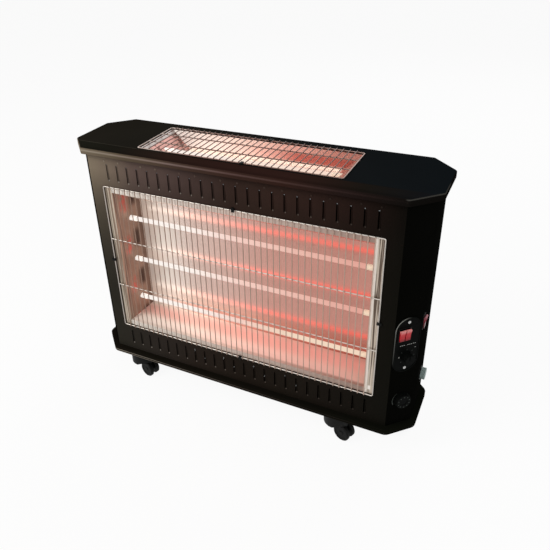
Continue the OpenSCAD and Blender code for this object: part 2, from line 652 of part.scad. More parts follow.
// Clips sit between two wires of the guard's long sides, and halfway up its ends
module guard_clips() color("#161616") {
  on_front() {
    for (s = [-1, 1]) translate([guard_pitch / 2, s * (window_h / 2 + border_gap), 0]) rotate([0, 0, s > 0 ? 0 : 180]) clip();
    for (s = [-1, 1]) translate([s * (window_half + border_gap), 0, 0]) rotate([0, 0, s > 0 ? -90 : 90]) clip();
  }
  on_top() for (s = [-1, 1])
    translate([1.5 * top_guard_pitch, s * (top_window_d / 2 + border_gap), 0]) rotate([0, 0, s > 0 ? 0 : 180]) clip();
}

// ---------------------------------------------------------------- controls

// Upright plate with round ends, from local y0 to y1
module stadium(w, h, y0, y1) {
  for (s = [-1, 1]) translate([0, 0, s * (h - w) / 2]) turned(y0, y1, w);
  translate([-w / 2, y0, -(h - w) / 2]) cube([w, y1 - y0, h - w]);
}

module control_plate() color("#121212") on_corner(plate_u, plate_z) difference() {
  stadium(plate_w, plate_h, -plate_t, 0);
  stadium(plate_w - 3, plate_h - 3, -plate_t - eps, plate_face);
  translate([switch_shift, 0, switch_rise])
    cube([switch_w - 2 + 2 * cutout_gap, 4 * plate_t, switch_body_h + 2 * cutout_gap], center = true);
  translate([selector_shift, 0, -selector_drop]) turned(-plate_t - eps, eps, bush_d + 2 * turn_gap);
  for (s = [-1, 1]) translate([0, 0, s * plate_screw_rise]) turned(-plate_t - eps, eps, screw_d + 2 * turn_gap);
}
module plate_screws() color("#c9c9c9") for (s = [-1, 1]) on_corner(plate_u, plate_z + s * plate_screw_rise) difference() {
  union() {
    turned(plate_face, 9, screw_d, 24);
    turned(plate_face - 1.5, plate_face, 5.4, 24);
  }
  translate([0, plate_face - 1.5, 0]) cube([0.9, 1.2, 4], center = true);
}

// Rocker switch: frame on its seat, body behind, one well for each rocker
rocker_pivot = 1.8;        // depth of the pivot behind the frame's face
rocker_half = (switch_h - 2 * switch_wall) / 2 - 1.2;
rocker_crest = 4.6;        // height of a rocker's shoulders above its pivot
crest_rise = 0.7;          // rise of a rocker's two crests above its shoulders
well_half = norm([rocker_half, rocker_crest]) + run_gap;
frame_t = 1.5;
pivot_pin_d = 2.2;

module switch_body(w, count, seat) {
  well_w = (w - 2 - 2 * switch_wall - (count - 1) * switch_wall) / count;
  face = seat - frame_t;
  difference() {
    union() {
      translate([-w / 2, face, -switch_h / 2]) cube([w, frame_t, switch_h]);
      translate([-w / 2 + 1, seat - eps, -switch_body_h / 2]) cube([w - 2, switch_depth - seat, switch_body_h]);
    }
    for (i = [0:count - 1]) translate([(i - (count - 1) / 2) * (well_w + switch_wall), 0, 0]) {
      translate([-well_w / 2, face - eps, -well_half]) cube([well_w, frame_t + 9, 2 * well_half]);
    }
    translate([0, face + rocker_pivot, 0]) rotate([0, 90, 0])
      cylinder(h = w - 3.2, d = pivot_pin_d + 2 * turn_gap, center = true, $fn = 24);
  }
}

// Rocker cap with a shallow valley between two crests, turned about its pivot pin
module rocker(w, seat) translate([0, seat - frame_t + rocker_pivot, 0]) rotate([rocker_tilt, 0, 0]) {
  rotate([0, 90, 0]) linear_extrude(w, center = true) polygon([
    [rocker_half, -rocker_crest], [rocker_half - 0.5, -rocker_crest - crest_rise], [0, -rocker_crest + 0.4],
    [-rocker_half + 0.5, -rocker_crest - crest_rise], [-rocker_half, -rocker_crest],
    [-rocker_half, -rocker_crest + 2.4], [-3, 5], [3, 5], [rocker_half, -rocker_crest + 2.4]]);
  rotate([0, 90, 0]) cylinder(h = w + 0.8, d = pivot_pin_d, center = true, $fn = 24);
}

function well_pitch(w, count) = (w - 2 - 2 * switch_wall - (count - 1) * switch_wall) / count + switch_wall;
double_rocker_w = well_pitch(switch_w, 2) - switch_wall - 2 * run_gap;

module double_switch() color("#151515") on_corner(plate_u + switch_shift, plate_z + switch_rise)
  switch_body(switch_w, 2, plate_face);
module left_rocker() color("#c41f2b") on_corner(plate_u + switch_shift - well_pitch(switch_w, 2) / 2, plate_z + switch_rise)
  rocker(double_rocker_w, plate_face);
module right_rocker() color("#c41f2b") on_corner(plate_u + switch_shift + well_pitch(switch_w, 2) / 2, plate_z + switch_rise)
  rocker(double_rocker_w, plate_face);

module end_switch() color("#151515") on_end(-end_switch_y, end_switch_z) switch_body(end_switch_w, 1, 0);
module end_rocker() color("#c41f2b") on_end(-end_switch_y, end_switch_z)
  rocker(well_pitch(end_switch_w, 1) - switch_wall - 2 * run_gap, 0);

// Rotary control: bush through the sheet and drum behind it
module rotary_body(d, depth, seat) difference() {
  union() {
    turned(seat, sheet + eps, bush_d);
    turned(sheet, sheet + depth, d);
  }
  turned(seat - eps, sheet + depth - 3, spindle_d + 2 * turn_gap);
}
// Knob: spindle, round body and a raised pointer rib
module knob(d, h, seat, depth) {
  turned(seat - run_gap - eps, sheet + depth - 4, spindle_d);
  difference() {
    union() {
      turned(seat - run_gap - 3, seat - run_gap, d);
      turned(seat - run_gap - h, seat - run_gap - 3 + eps, d - 3);
    }
    for (a = [0:30:330]) rotate([0, a, 0]) translate([d / 2 - 1, 0, 0])
      turned(seat - run_gap - h - eps, seat - run_gap - 4, 2.2, 16);
  }
  translate([-1.3, seat - run_gap - h - 1.2, 0]) cube([2.6, 2, d / 2 - 2.5]);
}

dial_u = 2.5;
selector_u = plate_u + selector_shift;
module selector_switch() color("#1a1a1a") on_corner(selector_u, plate_z - selector_drop) rotary_body(26, 17, plate_face + 0.4);
module selector_knob() color("#0d0d0d") on_corner(selector_u, plate_z - selector_drop) knob(selector_d, selector_h, plate_face, 17);
module thermostat() color("#1a1a1a") on_corner(dial_u, dial_z) rotary_body(32, 16, 0.2);

dial_dot_count = 10;
module thermostat_dial() color("#141414") on_corner(dial_u, dial_z) {
  turned(-run_gap - eps, sheet + 12, spindle_d);
  difference() {
    union() {
      turned(-run_gap - 2.5, -run_gap, dial_d);
      turned(-run_gap - dial_h, -run_gap - 2.5 + eps, dial_d - 2);
    }
    turned(-run_gap - dial_h - eps, -run_gap - dial_h + 0.8, dial_d - 16);
  }
  for (i = [0:dial_dot_count - 1]) rotate([0, 360 * i / dial_dot_count, 0]) translate([0, 0, dial_d / 2 - 4.2])
    turned(-run_gap - dial_h - 0.5, -run_gap - dial_h + eps, 2.2, 16);
}

end_boss_t = 2.5;
end_knob_t = overhang - end_boss_t - run_gap - 0.2;
module end_timer() color("#1a1a1a") on_end(end_knob_y, end_knob_z) {
  difference() {
    union() {
      turned(-end_boss_t, 0, end_knob_d + 4);
      turned(-eps, sheet + eps, bush_d);
      turned(sheet, sheet + 15, 30);
    }
    turned(-end_boss_t - eps, sheet + 12, spindle_d + 2 * turn_gap);
  }
}
module end_knob() color("#b9c6c5") on_end(end_knob_y, end_knob_z) {
  turned(-end_boss_t - run_gap - eps, sheet + 11, spindle_d);
  difference() {
    turned(-end_boss_t - run_gap - end_knob_t, -end_boss_t - run_gap, end_knob_d);
    for (a = [0:30:330]) rotate([0, a, 0]) translate([end_knob_d / 2 + 0.3, 0, 0])
      turned(-end_boss_t - run_gap - end_knob_t - eps, -end_boss_t - run_gap - 1, 2, 16);
  }
}

// ---------------------------------------------------------------- electrical pieces inside

lead_d = 3;
lead_stub = 6;             // straight end of a wire at its terminal
bundle_x = front_bar[2] + 4 + lead_d / 2 + seat_gap;
block_top = tray_top + 36;
block_y = [-32, -8];
bulkhead_face = bulkhead_x + bulkhead_sheet;

module terminal_block() color("#e8e4da") difference() {
  translate([bulkhead_face, block_y[0], block_top - 20]) cube([16, block_y[1] - block_y[0], 20]);
  for (i = [0:2]) translate([bulkhead_face + 16, block_y[0] + 5 + i * 7, block_top - 10]) rotate([0, 90, 0])
    cylinder(h = 6, d = 4, center = true, $fn = 24);
}
module tilt_switch() color("#2f3b45") translate([bulkhead_face, inner_back_y - 21, window_low + 140]) {
  cube([14, 16, 28]);
  translate([7, 8, 28]) cylinder(h = 4, d = 5, $fn = 24);
}
module thermal_cutout() color("#caa46a")
  translate([60, inner_front_y + mirror_depth + mirror_sheet, (window_low + window_high) / 2]) {
    turned(0, 2, 22);
    turned(2, 10, 16);
  }

module left_wiring() color("#a33a2a") {
  for (z = tube_zs) rod([-bundle_x, tube_y, z], [-bundle_x, -20, z], lead_d);
  wire_path([[-bundle_x, -20, tube_zs[2] + 5], [-bundle_x, -20, grommet_low[1]], [-bundle_x, grommet_low[0], grommet_low[1]],
             [bulkhead_face + 4, grommet_low[0], grommet_low[1]], [bulkhead_face + 4, block_y[1] + 0.1, grommet_low[1]]], lead_d);
  wire_path([[-bundle_x, -20, tube_zs[2]], [-bundle_x, -20, grommet_top[1]], [top_window_x - top_bar[2] - 8, -20, grommet_top[1]],
             [top_window_x - top_bar[2] - 5.6, top_tube_y, top_tube_z]], lead_d);
}

corner_mid = [(flat_half + end_x) / 2, front_y + corner_cut / 2];
// Point u along the corner face and y behind it, as a casing position
function behind_corner(u, y, z) = [corner_mid[0] + (u - y) / sqrt(2), corner_mid[1] + (u + y) / sqrt(2), tray_top + z];

module right_wiring() color("#a33a2a") {
  for (z = tube_zs) rod([bundle_x, tube_y, z], [bundle_x, -20, z], lead_d);
  wire_path([[bundle_x, -20, block_top + 0.1], [bundle_x, -20, grommet_top[1]], [top_window_x + top_bar[2] + 8, -20, grommet_top[1]],
             [top_window_x + top_bar[2] + 5.6, top_tube_y, top_tube_z]], lead_d);
  for (s = [[plate_u + switch_shift, switch_depth, plate_z + switch_rise],
            [selector_u, sheet + 17, plate_z - selector_drop], [dial_u, sheet + 16, dial_z]])
    wire_path([[bundle_x, -20, tray_top + s[2]], behind_corner(s[0], s[1] + lead_stub, s[2]),
               behind_corner(s[0], s[1] + run_gap, s[2])], lead_d);
  for (s = [[switch_depth, -end_switch_y, end_switch_z], [sheet + 15, end_knob_y, end_knob_z]])
    wire_path([[bundle_x, -20, tray_top + s[2]], [end_x - s[0] - lead_stub, s[1], tray_top + s[2]],
               [end_x - s[0] - run_gap, s[1], tray_top + s[2]]], lead_d);
  wire_path([[inlet_x, inner_back_y - 9, inlet_z], [inlet_x, grommet_supply[0], grommet_supply[1]],
             [bulkhead_face + 10, grommet_supply[0], grommet_supply[1]], [bulkhead_face + 10, block_y[1] + 0.1, grommet_supply[1]]], lead_d);
}

module cord_inlet() color("#161616") translate([inlet_x, 0, inlet_z]) difference() {
  union() {
    turned(inner_back_y - 6, casing_d / 2 + 7, inlet_body_d);
    turned(casing_d / 2, casing_d / 2 + 4, inlet_body_d + 8);
    turned(inner_back_y - 4, inner_back_y, inlet_body_d + 6, 6);
  }
  turned(inner_back_y - 6 - eps, casing_d / 2 + 7 + eps, inlet_bore_d);
}

// ---------------------------------------------------------------- castors

stem_d = 10;
kingpin_d = 8;
socket_t = 2;
crown_top = base_z - socket_t - run_gap;
crown_low = crown_top - crown_h;
castor_x = [castor_left - end_x, end_x - castor_right];
castor_y = casing_d / 2 - castor_inset;
castor_places = [for (sy = [-1, 1], i = [0, 1]) [castor_x[i], sy * castor_y, sy * [left_castor_turn, right_castor_turn][i]]];
kingpin_l = 19;
web_t = 7;
axle_d = 6;
wheel_gap = 0.8;           // play between a wheel and the web
hub_play = 0.5;            // part of it that the wheel's hub fills

module castor_sockets() color("#3a3a3a") for (p = castor_places) translate([p[0], p[1], 0]) {
  translate([0, 0, base_z - socket_t]) cylinder(h = socket_t, d = crown_d - 8);
  translate([0, 0, crown_top - kingpin_l]) cylinder(h = kingpin_l + run_gap + eps, d = kingpin_d);
  translate([0, 0, base_z - eps]) cylinder(h = sheet + eps + seat_gap, d = stem_d);
  translate([0, 0, base_z + sheet]) cylinder(h = 5, d = 17, $fn = 6);
}

module castor_body(p) translate([p[0], p[1], 0]) rotate([0, 0, p[2]]) difference() {
  union() {
    difference() {
      translate([0, 0, crown_low]) cylinder(h = crown_top - crown_low, d = crown_d);
      for (s = [-1, 1]) translate([castor_trail, s * (web_t / 2 + 20), wheel_d / 2]) rotate([90, 0, 0])
        cylinder(h = 40, d = wheel_d + 3, center = true);
    }
    translate([0, web_t / 2, 0]) rotate([90, 0, 0]) linear_extrude(web_t) polygon([
      [-crown_d / 4, crown_low + 1], [0, crown_low + 8], [castor_trail, wheel_d - 2],
      [castor_trail + 8, wheel_d / 2], [castor_trail, wheel_d / 2 - 8]]);
    translate([castor_trail, web_t / 2, wheel_d / 2]) rotate([90, 0, 0]) cylinder(h = web_t, r = 8);
  }
  translate([0, 0, crown_top - kingpin_l - 2]) cylinder(h = kingpin_l + 2 + eps, d = kingpin_d + 2 * turn_gap);
  translate([castor_trail, 0, wheel_d / 2]) rotate([90, 0, 0]) cylinder(h = web_t + 2 * eps, d = axle_d + 2 * turn_gap, center = true);
}

module castor_wheel(p) translate([p[0], p[1], wheel_d / 2]) rotate([0, 0, p[2]]) translate([castor_trail, 0, 0]) {
  inner = web_t / 2 + wheel_gap;
  rotate([90, 0, 0]) cylinder(h = 2 * inner + 2, d = axle_d, center = true);
  for (s = [-1, 1]) rotate([s * 90, 0, 0]) {
    translate([0, 0, inner]) rotate_extrude($fn = 64) polygon([
      [0, 0], [wheel_d / 2 - 1.2, 0], [wheel_d / 2, 1.2], [wheel_d / 2, wheel_w - 2], [wheel_d / 2 - 2, wheel_w],
      [wheel_d / 2 - 5, wheel_w], [wheel_d / 2 - 6, wheel_w - 1], [5, wheel_w - 1], [4.4, wheel_w], [0, wheel_w]]);
    translate([0, 0, inner - hub_play]) cylinder(h = 1, d = 12);
  }
}

module castor_body_1() color("#1b1b1b") castor_body(castor_places[0]);
module castor_body_2() color("#1b1b1b") castor_body(castor_places[1]);
module castor_body_3() color("#1b1b1b") castor_body(castor_places[2]);
module castor_body_4() color("#1b1b1b") castor_body(castor_places[3]);
module castor_wheel_1() color("#101010") castor_wheel(castor_places[0]);
module castor_wheel_2() color("#101010") castor_wheel(castor_places[1]);
module castor_wheel_3() color("#101010") castor_wheel(castor_places[2]);
module castor_wheel_4() color("#101010") castor_wheel(castor_places[3]);

base_tray();
top_cover();
front_panel();
back_panel();
left_end_panel();
right_end_panel();
left_bulkhead();
right_bulkhead();
front_rail();
panel_rivets();
back_screws();
main_reflector();
left_reflector_end();
right_reflector_end();
top_reflector();
tube_1();
tube_2();
tube_3();
top_tube();
element_1();
element_2();
element_3();
top_element();
front_tube_caps();
top_tube_caps();
front_guard_frame();
front_guard_wires();
top_guard_frame();
top_guard_wires();
guard_clips();
control_plate();
plate_screws();
double_switch();
left_rocker();
right_rocker();
selector_switch();
selector_knob();
thermostat();
thermostat_dial();
end_switch();
end_rocker();
end_timer();
end_knob();
terminal_block();
tilt_switch();
thermal_cutout();
left_wiring();
right_wiring();
cord_inlet();
castor_sockets();
castor_body_1();
castor_body_2();
castor_body_3();
castor_body_4();
castor_wheel_1();
castor_wheel_2();
castor_wheel_3();
castor_wheel_4();
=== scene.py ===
"""Looks of the electric bar heater: camera, light, materials and fine pieces around the fixed frame."""

import json
import math

import bmesh
import bpy
from mathutils import Euler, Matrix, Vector


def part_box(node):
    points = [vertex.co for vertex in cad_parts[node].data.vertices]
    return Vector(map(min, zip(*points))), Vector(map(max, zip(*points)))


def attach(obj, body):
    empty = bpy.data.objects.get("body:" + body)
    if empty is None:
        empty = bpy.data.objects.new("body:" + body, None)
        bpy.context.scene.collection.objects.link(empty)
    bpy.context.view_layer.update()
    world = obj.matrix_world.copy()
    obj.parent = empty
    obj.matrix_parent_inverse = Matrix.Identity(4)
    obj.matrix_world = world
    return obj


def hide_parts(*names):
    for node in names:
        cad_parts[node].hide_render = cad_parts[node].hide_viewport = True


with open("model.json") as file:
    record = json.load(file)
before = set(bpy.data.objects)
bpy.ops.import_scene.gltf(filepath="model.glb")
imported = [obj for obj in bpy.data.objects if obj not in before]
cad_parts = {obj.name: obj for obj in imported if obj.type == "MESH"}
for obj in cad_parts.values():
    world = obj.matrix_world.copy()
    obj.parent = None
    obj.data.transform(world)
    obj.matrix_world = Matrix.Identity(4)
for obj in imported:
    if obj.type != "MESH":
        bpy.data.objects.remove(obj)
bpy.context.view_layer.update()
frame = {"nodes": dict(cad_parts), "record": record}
nodes = frame["nodes"]
scene = bpy.context.scene
scene.view_settings.view_transform = "Standard"
MM = 0.001

# ------------------------------------------------------------------ camera

# Solved from the straight edges of the casing in the photo; lengths in metres, turns in degrees
CAMERA_PLACE = (0.4650, -0.9217, 0.9331)
CAMERA_TURNS = (60.448, 2.142, 26.446)
SENSOR_WIDTH, FOCAL_LENGTH = 36.0, 40.07
CAMERA_SHIFT = (0.0565, -0.0503)
NEAREST, FARTHEST = 0.02, 60

camera_data = bpy.data.cameras.new("camera")
camera_data.sensor_width = SENSOR_WIDTH
camera_data.lens = FOCAL_LENGTH
camera_data.shift_x, camera_data.shift_y = CAMERA_SHIFT
camera_data.clip_start, camera_data.clip_end = NEAREST, FARTHEST
camera = bpy.data.objects.new("camera", camera_data)
camera.location = CAMERA_PLACE
camera.rotation_euler = Euler([math.radians(turn) for turn in CAMERA_TURNS], "XYZ")
scene.collection.objects.link(camera)
scene.camera = camera

# ------------------------------------------------------------------ colours and node helpers

SOCKETS = {"color": "Base Color", "rough": "Roughness", "metal": "Metallic", "normal": "Normal",
           "specular": "Specular IOR Level", "glow": "Emission Color", "glow_strength": "Emission Strength",
           "alpha": "Alpha"}


def linear(level):
    """A display level, 0 to 255, as linear light."""
    share = level / 255
    return share / 12.92 if share <= 0.04045 else ((share + 0.055) / 1.055) ** 2.4


def rgb(r, g, b):
    """A display colour, 0 to 255, as the linear colour that shows as it."""
    return (linear(r), linear(g), linear(b), 1.0)


def greys(*levels):
    """Linear greys, for a ramp that gives a share and not a colour."""
    return [(level, level, level, 1.0) for level in levels]


BLACK = (0.0, 0.0, 0.0, 1.0)
WHITE = (1.0, 1.0, 1.0, 1.0)


class Maker:
    """A material or world node tree, with short calls for its nodes."""

    def __init__(self, tree):
        self.tree = tree
        tree.nodes.clear()

    def plug(self, socket, value):
        """Link the socket to another one, or set it to a plain value."""
        if isinstance(value, bpy.types.NodeSocket):
            self.tree.links.new(value, socket)
        else:
            socket.default_value = value

    def node(self, kind, inputs=(), **settings):
        n = self.tree.nodes.new(kind)
        for key, value in settings.items():
            setattr(n, key, value)
        for key, value in dict(inputs).items():
            self.plug(n.inputs[key], value)
        return n

    def math(self, operation, *values):
        """The result of one math node, or of a chain of them where there are more than two values."""
        result = values[0]
        for value in values[1:]:
            result = self.node("ShaderNodeMath", {0: result, 1: value}, operation=operation).outputs[0]
        return result

    def cosine(self, value):
        return self.node("ShaderNodeMath", {0: value}, operation="COSINE").outputs[0]

    def times(self, *values):
        return self.math("MULTIPLY", *values)

    def plus(self, *values):
        return self.math("ADD", *values)

    def minus(self, a, b):
        return self.math("SUBTRACT", a, b)

    def most(self, *values):
        return self.math("MAXIMUM", *values)

    def place(self):
        return self.node("ShaderNodeTexCoord").outputs["Object"]

    def axis(self, name):
        return self.node("ShaderNodeSeparateXYZ", {0: self.place()}).outputs[name]

    def span(self, value, low, high):
        """0 at low, 1 at high, smooth between. High may lie below low."""
        return self.node("ShaderNodeMapRange", {"Value": value, "From Min": low, "From Max": high},
                         interpolation_type="SMOOTHSTEP").outputs["Result"]

    def within(self, value, low, high, soft):
        """1 between low and high, 0 outside, with edges that are soft by that much to both sides."""
        return self.times(self.span(value, low - soft, low + soft),
                          self.span(value, high + soft, high - soft))

    def ramp(self, value, reach, stops):
        """Linear colours spread evenly over the reach, from its low to its high end."""
        low, high = reach
        share = self.node("ShaderNodeMapRange", {"Value": value, "From Min": low, "From Max": high})
        n = self.node("ShaderNodeValToRGB", {"Fac": share.outputs["Result"]})
        points = n.color_ramp.elements
        while len(points) < len(stops):
            points.new(0.5)
        for i, color in enumerate(stops):
            points[i].position = i / (len(stops) - 1)
            points[i].color = color
        return n.outputs["Color"]

    def tones(self, axis, reach, *colors):
        """Display colours spread evenly along an axis."""
        return self.ramp(self.axis(axis), reach, [rgb(*color) for color in colors])

    def noise(self, scale, detail=2.0, roughness=0.5, stretch=None):
        vector = self.place()
        if stretch:
            vector = self.node("ShaderNodeMapping", {"Vector": vector, "Scale": stretch}).outputs[0]
        return self.node("ShaderNodeTexNoise", {"Vector": vector, "Scale": scale, "Detail": detail,
                                                "Roughness": roughness}).outputs["Fac"]

    def mix(self, share, a, b):
        """Colour a where share is 0, and b where it is 1."""
        return self.node("ShaderNodeMix", {0: share, 6: a, 7: b}, data_type="RGBA").outputs[2]

    def shade(self, color, amount, share=1.0):
        """The colour, darker by up to amount where share is 1."""
        return self.mix(share, color, self.mix(amount, color, BLACK))

    def vary(self, middle, amount, share):
        """The middle value, give or take half the amount, as share goes from 0 to 1."""
        return self.plus(self.times(share, amount), middle - amount / 2)

    def bump(self, height, strength, distance):
        return self.node("ShaderNodeBump", {"Height": height, "Strength": strength,
                                            "Distance": distance}).outputs["Normal"]


class Finish(Maker):
    """A new material with one Principled shader."""

    def __init__(self, name):
        self.material = bpy.data.materials.new(name)
        self.material.use_nodes = True
        super().__init__(self.material.node_tree)
        self.shader = self.node("ShaderNodeBsdfPrincipled")
        self.node("ShaderNodeOutputMaterial", {"Surface": self.shader.outputs[0]})

    def done(self, **values):
        """The material, with the shader's sockets set to the values."""
        for key, value in values.items():
            self.plug(self.shader.inputs[SOCKETS[key]], value)
        return self.material


# ------------------------------------------------------------------ painted steel

CASING_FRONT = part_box("left_end_panel")[0].y
COVER_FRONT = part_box("top_cover")[0].y
COVER_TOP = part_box("top_cover")[1].z
TRAY_LOW, TRAY_TOP = (end.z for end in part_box("base_tray"))
CREASE_Y = CASING_FRONT + 21 * MM
# Painted highlights: the crease's light line and the light on the cover's right front corner
CREASE_FADE_X = (-0.22, -0.10)    # the crease's light line ends over this stretch
CORNER_LIGHT_X = (0.300, 0.306)   # where the light on the cover's right front corner begins
# Painted highlights go at the louvres' lower lips
LOUVRE_FEET = (0.092, 0.479)      # lower lips of the two rows of louvres
# Painted highlights: two thin light lines on the tray's rim
TRAY_HIGHLIGHT_DROPS = (12.4, 8.0)          # light lines on the tray's rim, in mm below its top
TRAY_HIGHLIGHT_WIDTH = 1.8                   # width of each, in mm

# Stretches in metres over which the tones of the paint, the wires and the caps change, with their painted
# light and shade
PANEL_X, PANEL_SHEEN_Z = (-0.3, 0.3), (0.22, 0.5)
COVER_X = (-0.35, 0.35)
RIM_X = (-0.31, 0.31)
TRAY_X = (-0.35, 0.33)
WIRE_X = (-0.27, 0.27)
CAPS_X, CAPS_LIGHT_X = (-0.26, 0.26), (-0.2, 0.2)


def enamel(name, tone_of, rough=0.5, specular=0.01):
    """Baked enamel sprayed on steel: fine orange peel and cloudy tone over the colour that tone_of gives."""
    make = Finish(name)
    tone = make.shade(tone_of(make), 0.3, make.noise(9.0, 3.0))
    peel = make.plus(make.times(make.noise(2600.0, 2.0, 0.6), 0.35), make.noise(420.0))
    return make.done(color=tone, specular=specular, rough=make.vary(rough, 0.16, make.noise(60.0, 3.0)),
                     normal=make.bump(peel, 0.2, 0.3 * MM))


def panel_tone(make):
    """Painted warm sheen along the top that fades to the right and downwards, painted shade on the louvres'
    lips and a painted highlight at their lower ends.
    """
    y, z = make.axis("Y"), make.axis("Z")
    # Painted light: brighter tones along the top, dimmer ones lower down
    high = make.tones("X", PANEL_X, (134, 121, 104), (96, 80, 74), (77, 62, 58), (56, 42, 37), (52, 37, 32),
                      (42, 29, 25), (17, 14, 11))
    low = make.tones("X", PANEL_X, (44, 42, 36), (47, 42, 38), (42, 35, 30), (34, 28, 23), (32, 27, 22),
                     (28, 24, 20), (20, 19, 15))
    sheen = make.ramp(z, PANEL_SHEEN_Z, greys(0.01, 0.03, 0.05, 0.12, 0.2, 0.31, 0.56, 1.0))
    tone = make.mix(sheen, low, high)
    # Painted shade on the louvres' lips, with a painted highlight at their lower ends
    lip = make.span(y, CASING_FRONT - 0.2 * MM, CASING_FRONT - 0.6 * MM)
    foot = make.most(*[make.within(z, edge - MM, edge + 2 * MM, MM) for edge in LOUVRE_FEET])
    light = make.tones("X", RIM_X, (168, 160, 150), (110, 98, 90), (40, 34, 30))
    return make.mix(lip, tone, make.mix(foot, make.shade(tone, 0.35), light))


def cover_tone(make):
    """Painted reflections, grey-green on the left and bluish on the right, a brown front strip with painted
    shade towards its edge, and a rolled rim with a painted highlight line.
    """
    x, y, z = (make.axis(a) for a in "XYZ")
    # Painted reflections on the top, and a painted sheen on the front strip
    top = make.tones("X", COVER_X, (36, 33, 28), (33, 32, 28), (25, 27, 28), (20, 24, 27))
    strip = make.tones("X", COVER_X, (31, 31, 25), (31, 29, 24), (46, 32, 27), (52, 33, 29), (50, 32, 28),
                       (30, 26, 22), (20, 23, 27))
    # Painted shade on the strip towards its front edge
    strip = make.shade(strip, 0.2, make.span(y, COVER_FRONT + 15 * MM, COVER_FRONT + 3 * MM))
    top = make.mix(make.span(y, CREASE_Y + 2 * MM, CREASE_Y - 2 * MM), top, strip)
    # Painted highlight line along the crease
    crease = make.within(y, CREASE_Y - 0.2 * MM, CREASE_Y + 0.9 * MM, 0.4 * MM)
    crease = make.times(crease, make.span(x, CREASE_FADE_X[1], CREASE_FADE_X[0]))
    top = make.mix(crease, top, rgb(74, 70, 62))
    # Painted sheen on the rim that fades to the right, with a painted highlight band
    rim = make.tones("X", RIM_X, (120, 108, 92), (92, 80, 66), (74, 58, 50), (62, 44, 38), (52, 34, 29),
                     (37, 27, 25), (19, 17, 15))
    light = make.tones("X", RIM_X, (152, 142, 126), (134, 120, 108), (122, 103, 98), (96, 74, 70),
                       (74, 54, 50), (48, 35, 33), (20, 18, 16))
    rim = make.mix(make.within(z, COVER_TOP - 6.6 * MM, COVER_TOP - 3.6 * MM, 1.2 * MM), rim, light)
    # Painted highlight on the right front corner
    corner = make.times(make.span(x, *CORNER_LIGHT_X), make.span(y, 0.0, -0.02),
                        make.within(z, COVER_TOP - 2.6 * MM, COVER_TOP, 0.4 * MM))
    rim = make.mix(corner, rim, rgb(66, 64, 60))
    return make.mix(make.span(z, COVER_TOP - 1.2 * MM, COVER_TOP - 0.4 * MM), rim, top)


def tray_tone(make):
    """Nearly black with a faint painted sheen on the left; two thin painted highlight lines round the rim
    fade to the right.
    """
    z = make.axis("Z")
    tone = make.tones("X", TRAY_X, (26, 23, 18), (24, 21, 16), (21, 19, 15), (17, 18, 13))
    light = make.tones("X", TRAY_X, (150, 143, 130), (112, 104, 96), (72, 64, 58), (40, 36, 32), (22, 22, 18))
    # Painted highlight lines along the rim
    highlight_lines = [make.within(z, TRAY_TOP - drop * MM, TRAY_TOP - (drop - TRAY_HIGHLIGHT_WIDTH) * MM, 0.3 * MM)
             for drop in TRAY_HIGHLIGHT_DROPS]
    return make.mix(make.most(*highlight_lines), tone, light)


def end_tone(make):
    """Nearly black ends with painted shade, darkest at the front."""
    return make.tones("Y", (CASING_FRONT, -CASING_FRONT), (9, 9, 7), (11, 11, 9), (15, 15, 13), (18, 19, 17))


# Painted highlight on the rivets, bright on the left and fading to the right
def rivet_tone(make):
    return make.tones("X", PANEL_X, (150, 138, 122), (92, 76, 68), (62, 48, 42), (30, 24, 20))


# Painted light and shade: lighter towards the top, darker towards the bottom
def back_tone(make):
    return make.tones("Z", (TRAY_LOW, COVER_TOP), (34, 33, 30), (48, 46, 43))


# ------------------------------------------------------------------ plain mouldings, metal and wires

def plain(name, color, rough, specular=0.3, grain=900.0, depth=0.2 * MM, metal=0.0, vary=0.2):
    """Moulded or rolled surface with its own fine grain and a little change of tone."""
    make = Finish(name)
    return make.done(color=make.shade(color, vary, make.noise(70.0, 3.0)), specular=specular, metal=metal,
                     rough=make.vary(rough, 0.14, make.noise(150.0)),
                     normal=make.bump(make.noise(grain, 2.0, 0.6), 0.3, depth))


def wire(name, *colors):
    """Plated steel wire, hazy from heat, its display colours, which hold painted reflections and highlights,
    changing along X.
    """
    make = Finish(name)
    haze = make.noise(180.0, 3.0)
    return make.done(color=make.shade(make.tones("X", WIRE_X, *colors), 0.25, haze), metal=0.8,
                     rough=make.vary(0.36, 0.12, haze), normal=make.bump(make.noise(900.0), 0.15, 0.2 * MM))


def ceramic(name):
    """White steatite with painted light: the caps glow, white on the left where they stand in white-hot light
    and pink on the right.
    """
    make = Finish(name)
    tone = make.tones("X", CAPS_X, (250, 244, 238), (240, 222, 206), (232, 212, 188))
    tone = make.shade(tone, 0.12, make.noise(120.0, 3.0))
    # Painted glow, stronger on the left
    painted_glow_strength = make.minus(0.7, make.times(make.span(make.axis("X"), *CAPS_LIGHT_X), 0.3))
    return make.done(color=tone, glow=tone, glow_strength=painted_glow_strength, rough=0.4, specular=0.3,
                     normal=make.bump(make.noise(400.0), 0.2, 0.2 * MM))


# ------------------------------------------------------------------ reflectors

# Places on the front reflector's ends, in metres: depths from the front to the back, and the right end's edge
LIP_BACK = -0.0785
END_FRONT_Y = (-0.070, -0.066)
# Depths of the painted reflections and the painted shade on the left end
RED_PATCH_Y = (-0.064, -0.047)
DARK_PATCH_Y = (-0.040, -0.026)
REAR_STRIPE_Y = (-0.024, -0.012)
# Painted highlight along the right end's inner edge
INNER_EDGE_X = (0.2622, 0.2642)
LIP_SPOT_X, LIP_SPOT_Z = (0.2645, 0.2695), (0.150, 0.159)

# Mouth and floor of the front reflector, its back wall, and the band of painted reflected glow on its floor
MOUTH_LOW, MOUTH_HIGH = 0.152, 0.453
FLOOR_TOP = 0.163
BACK_WALL_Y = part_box("main_reflector")[1].y
FLOOR_GLOW_Y = (-0.050, -0.020)

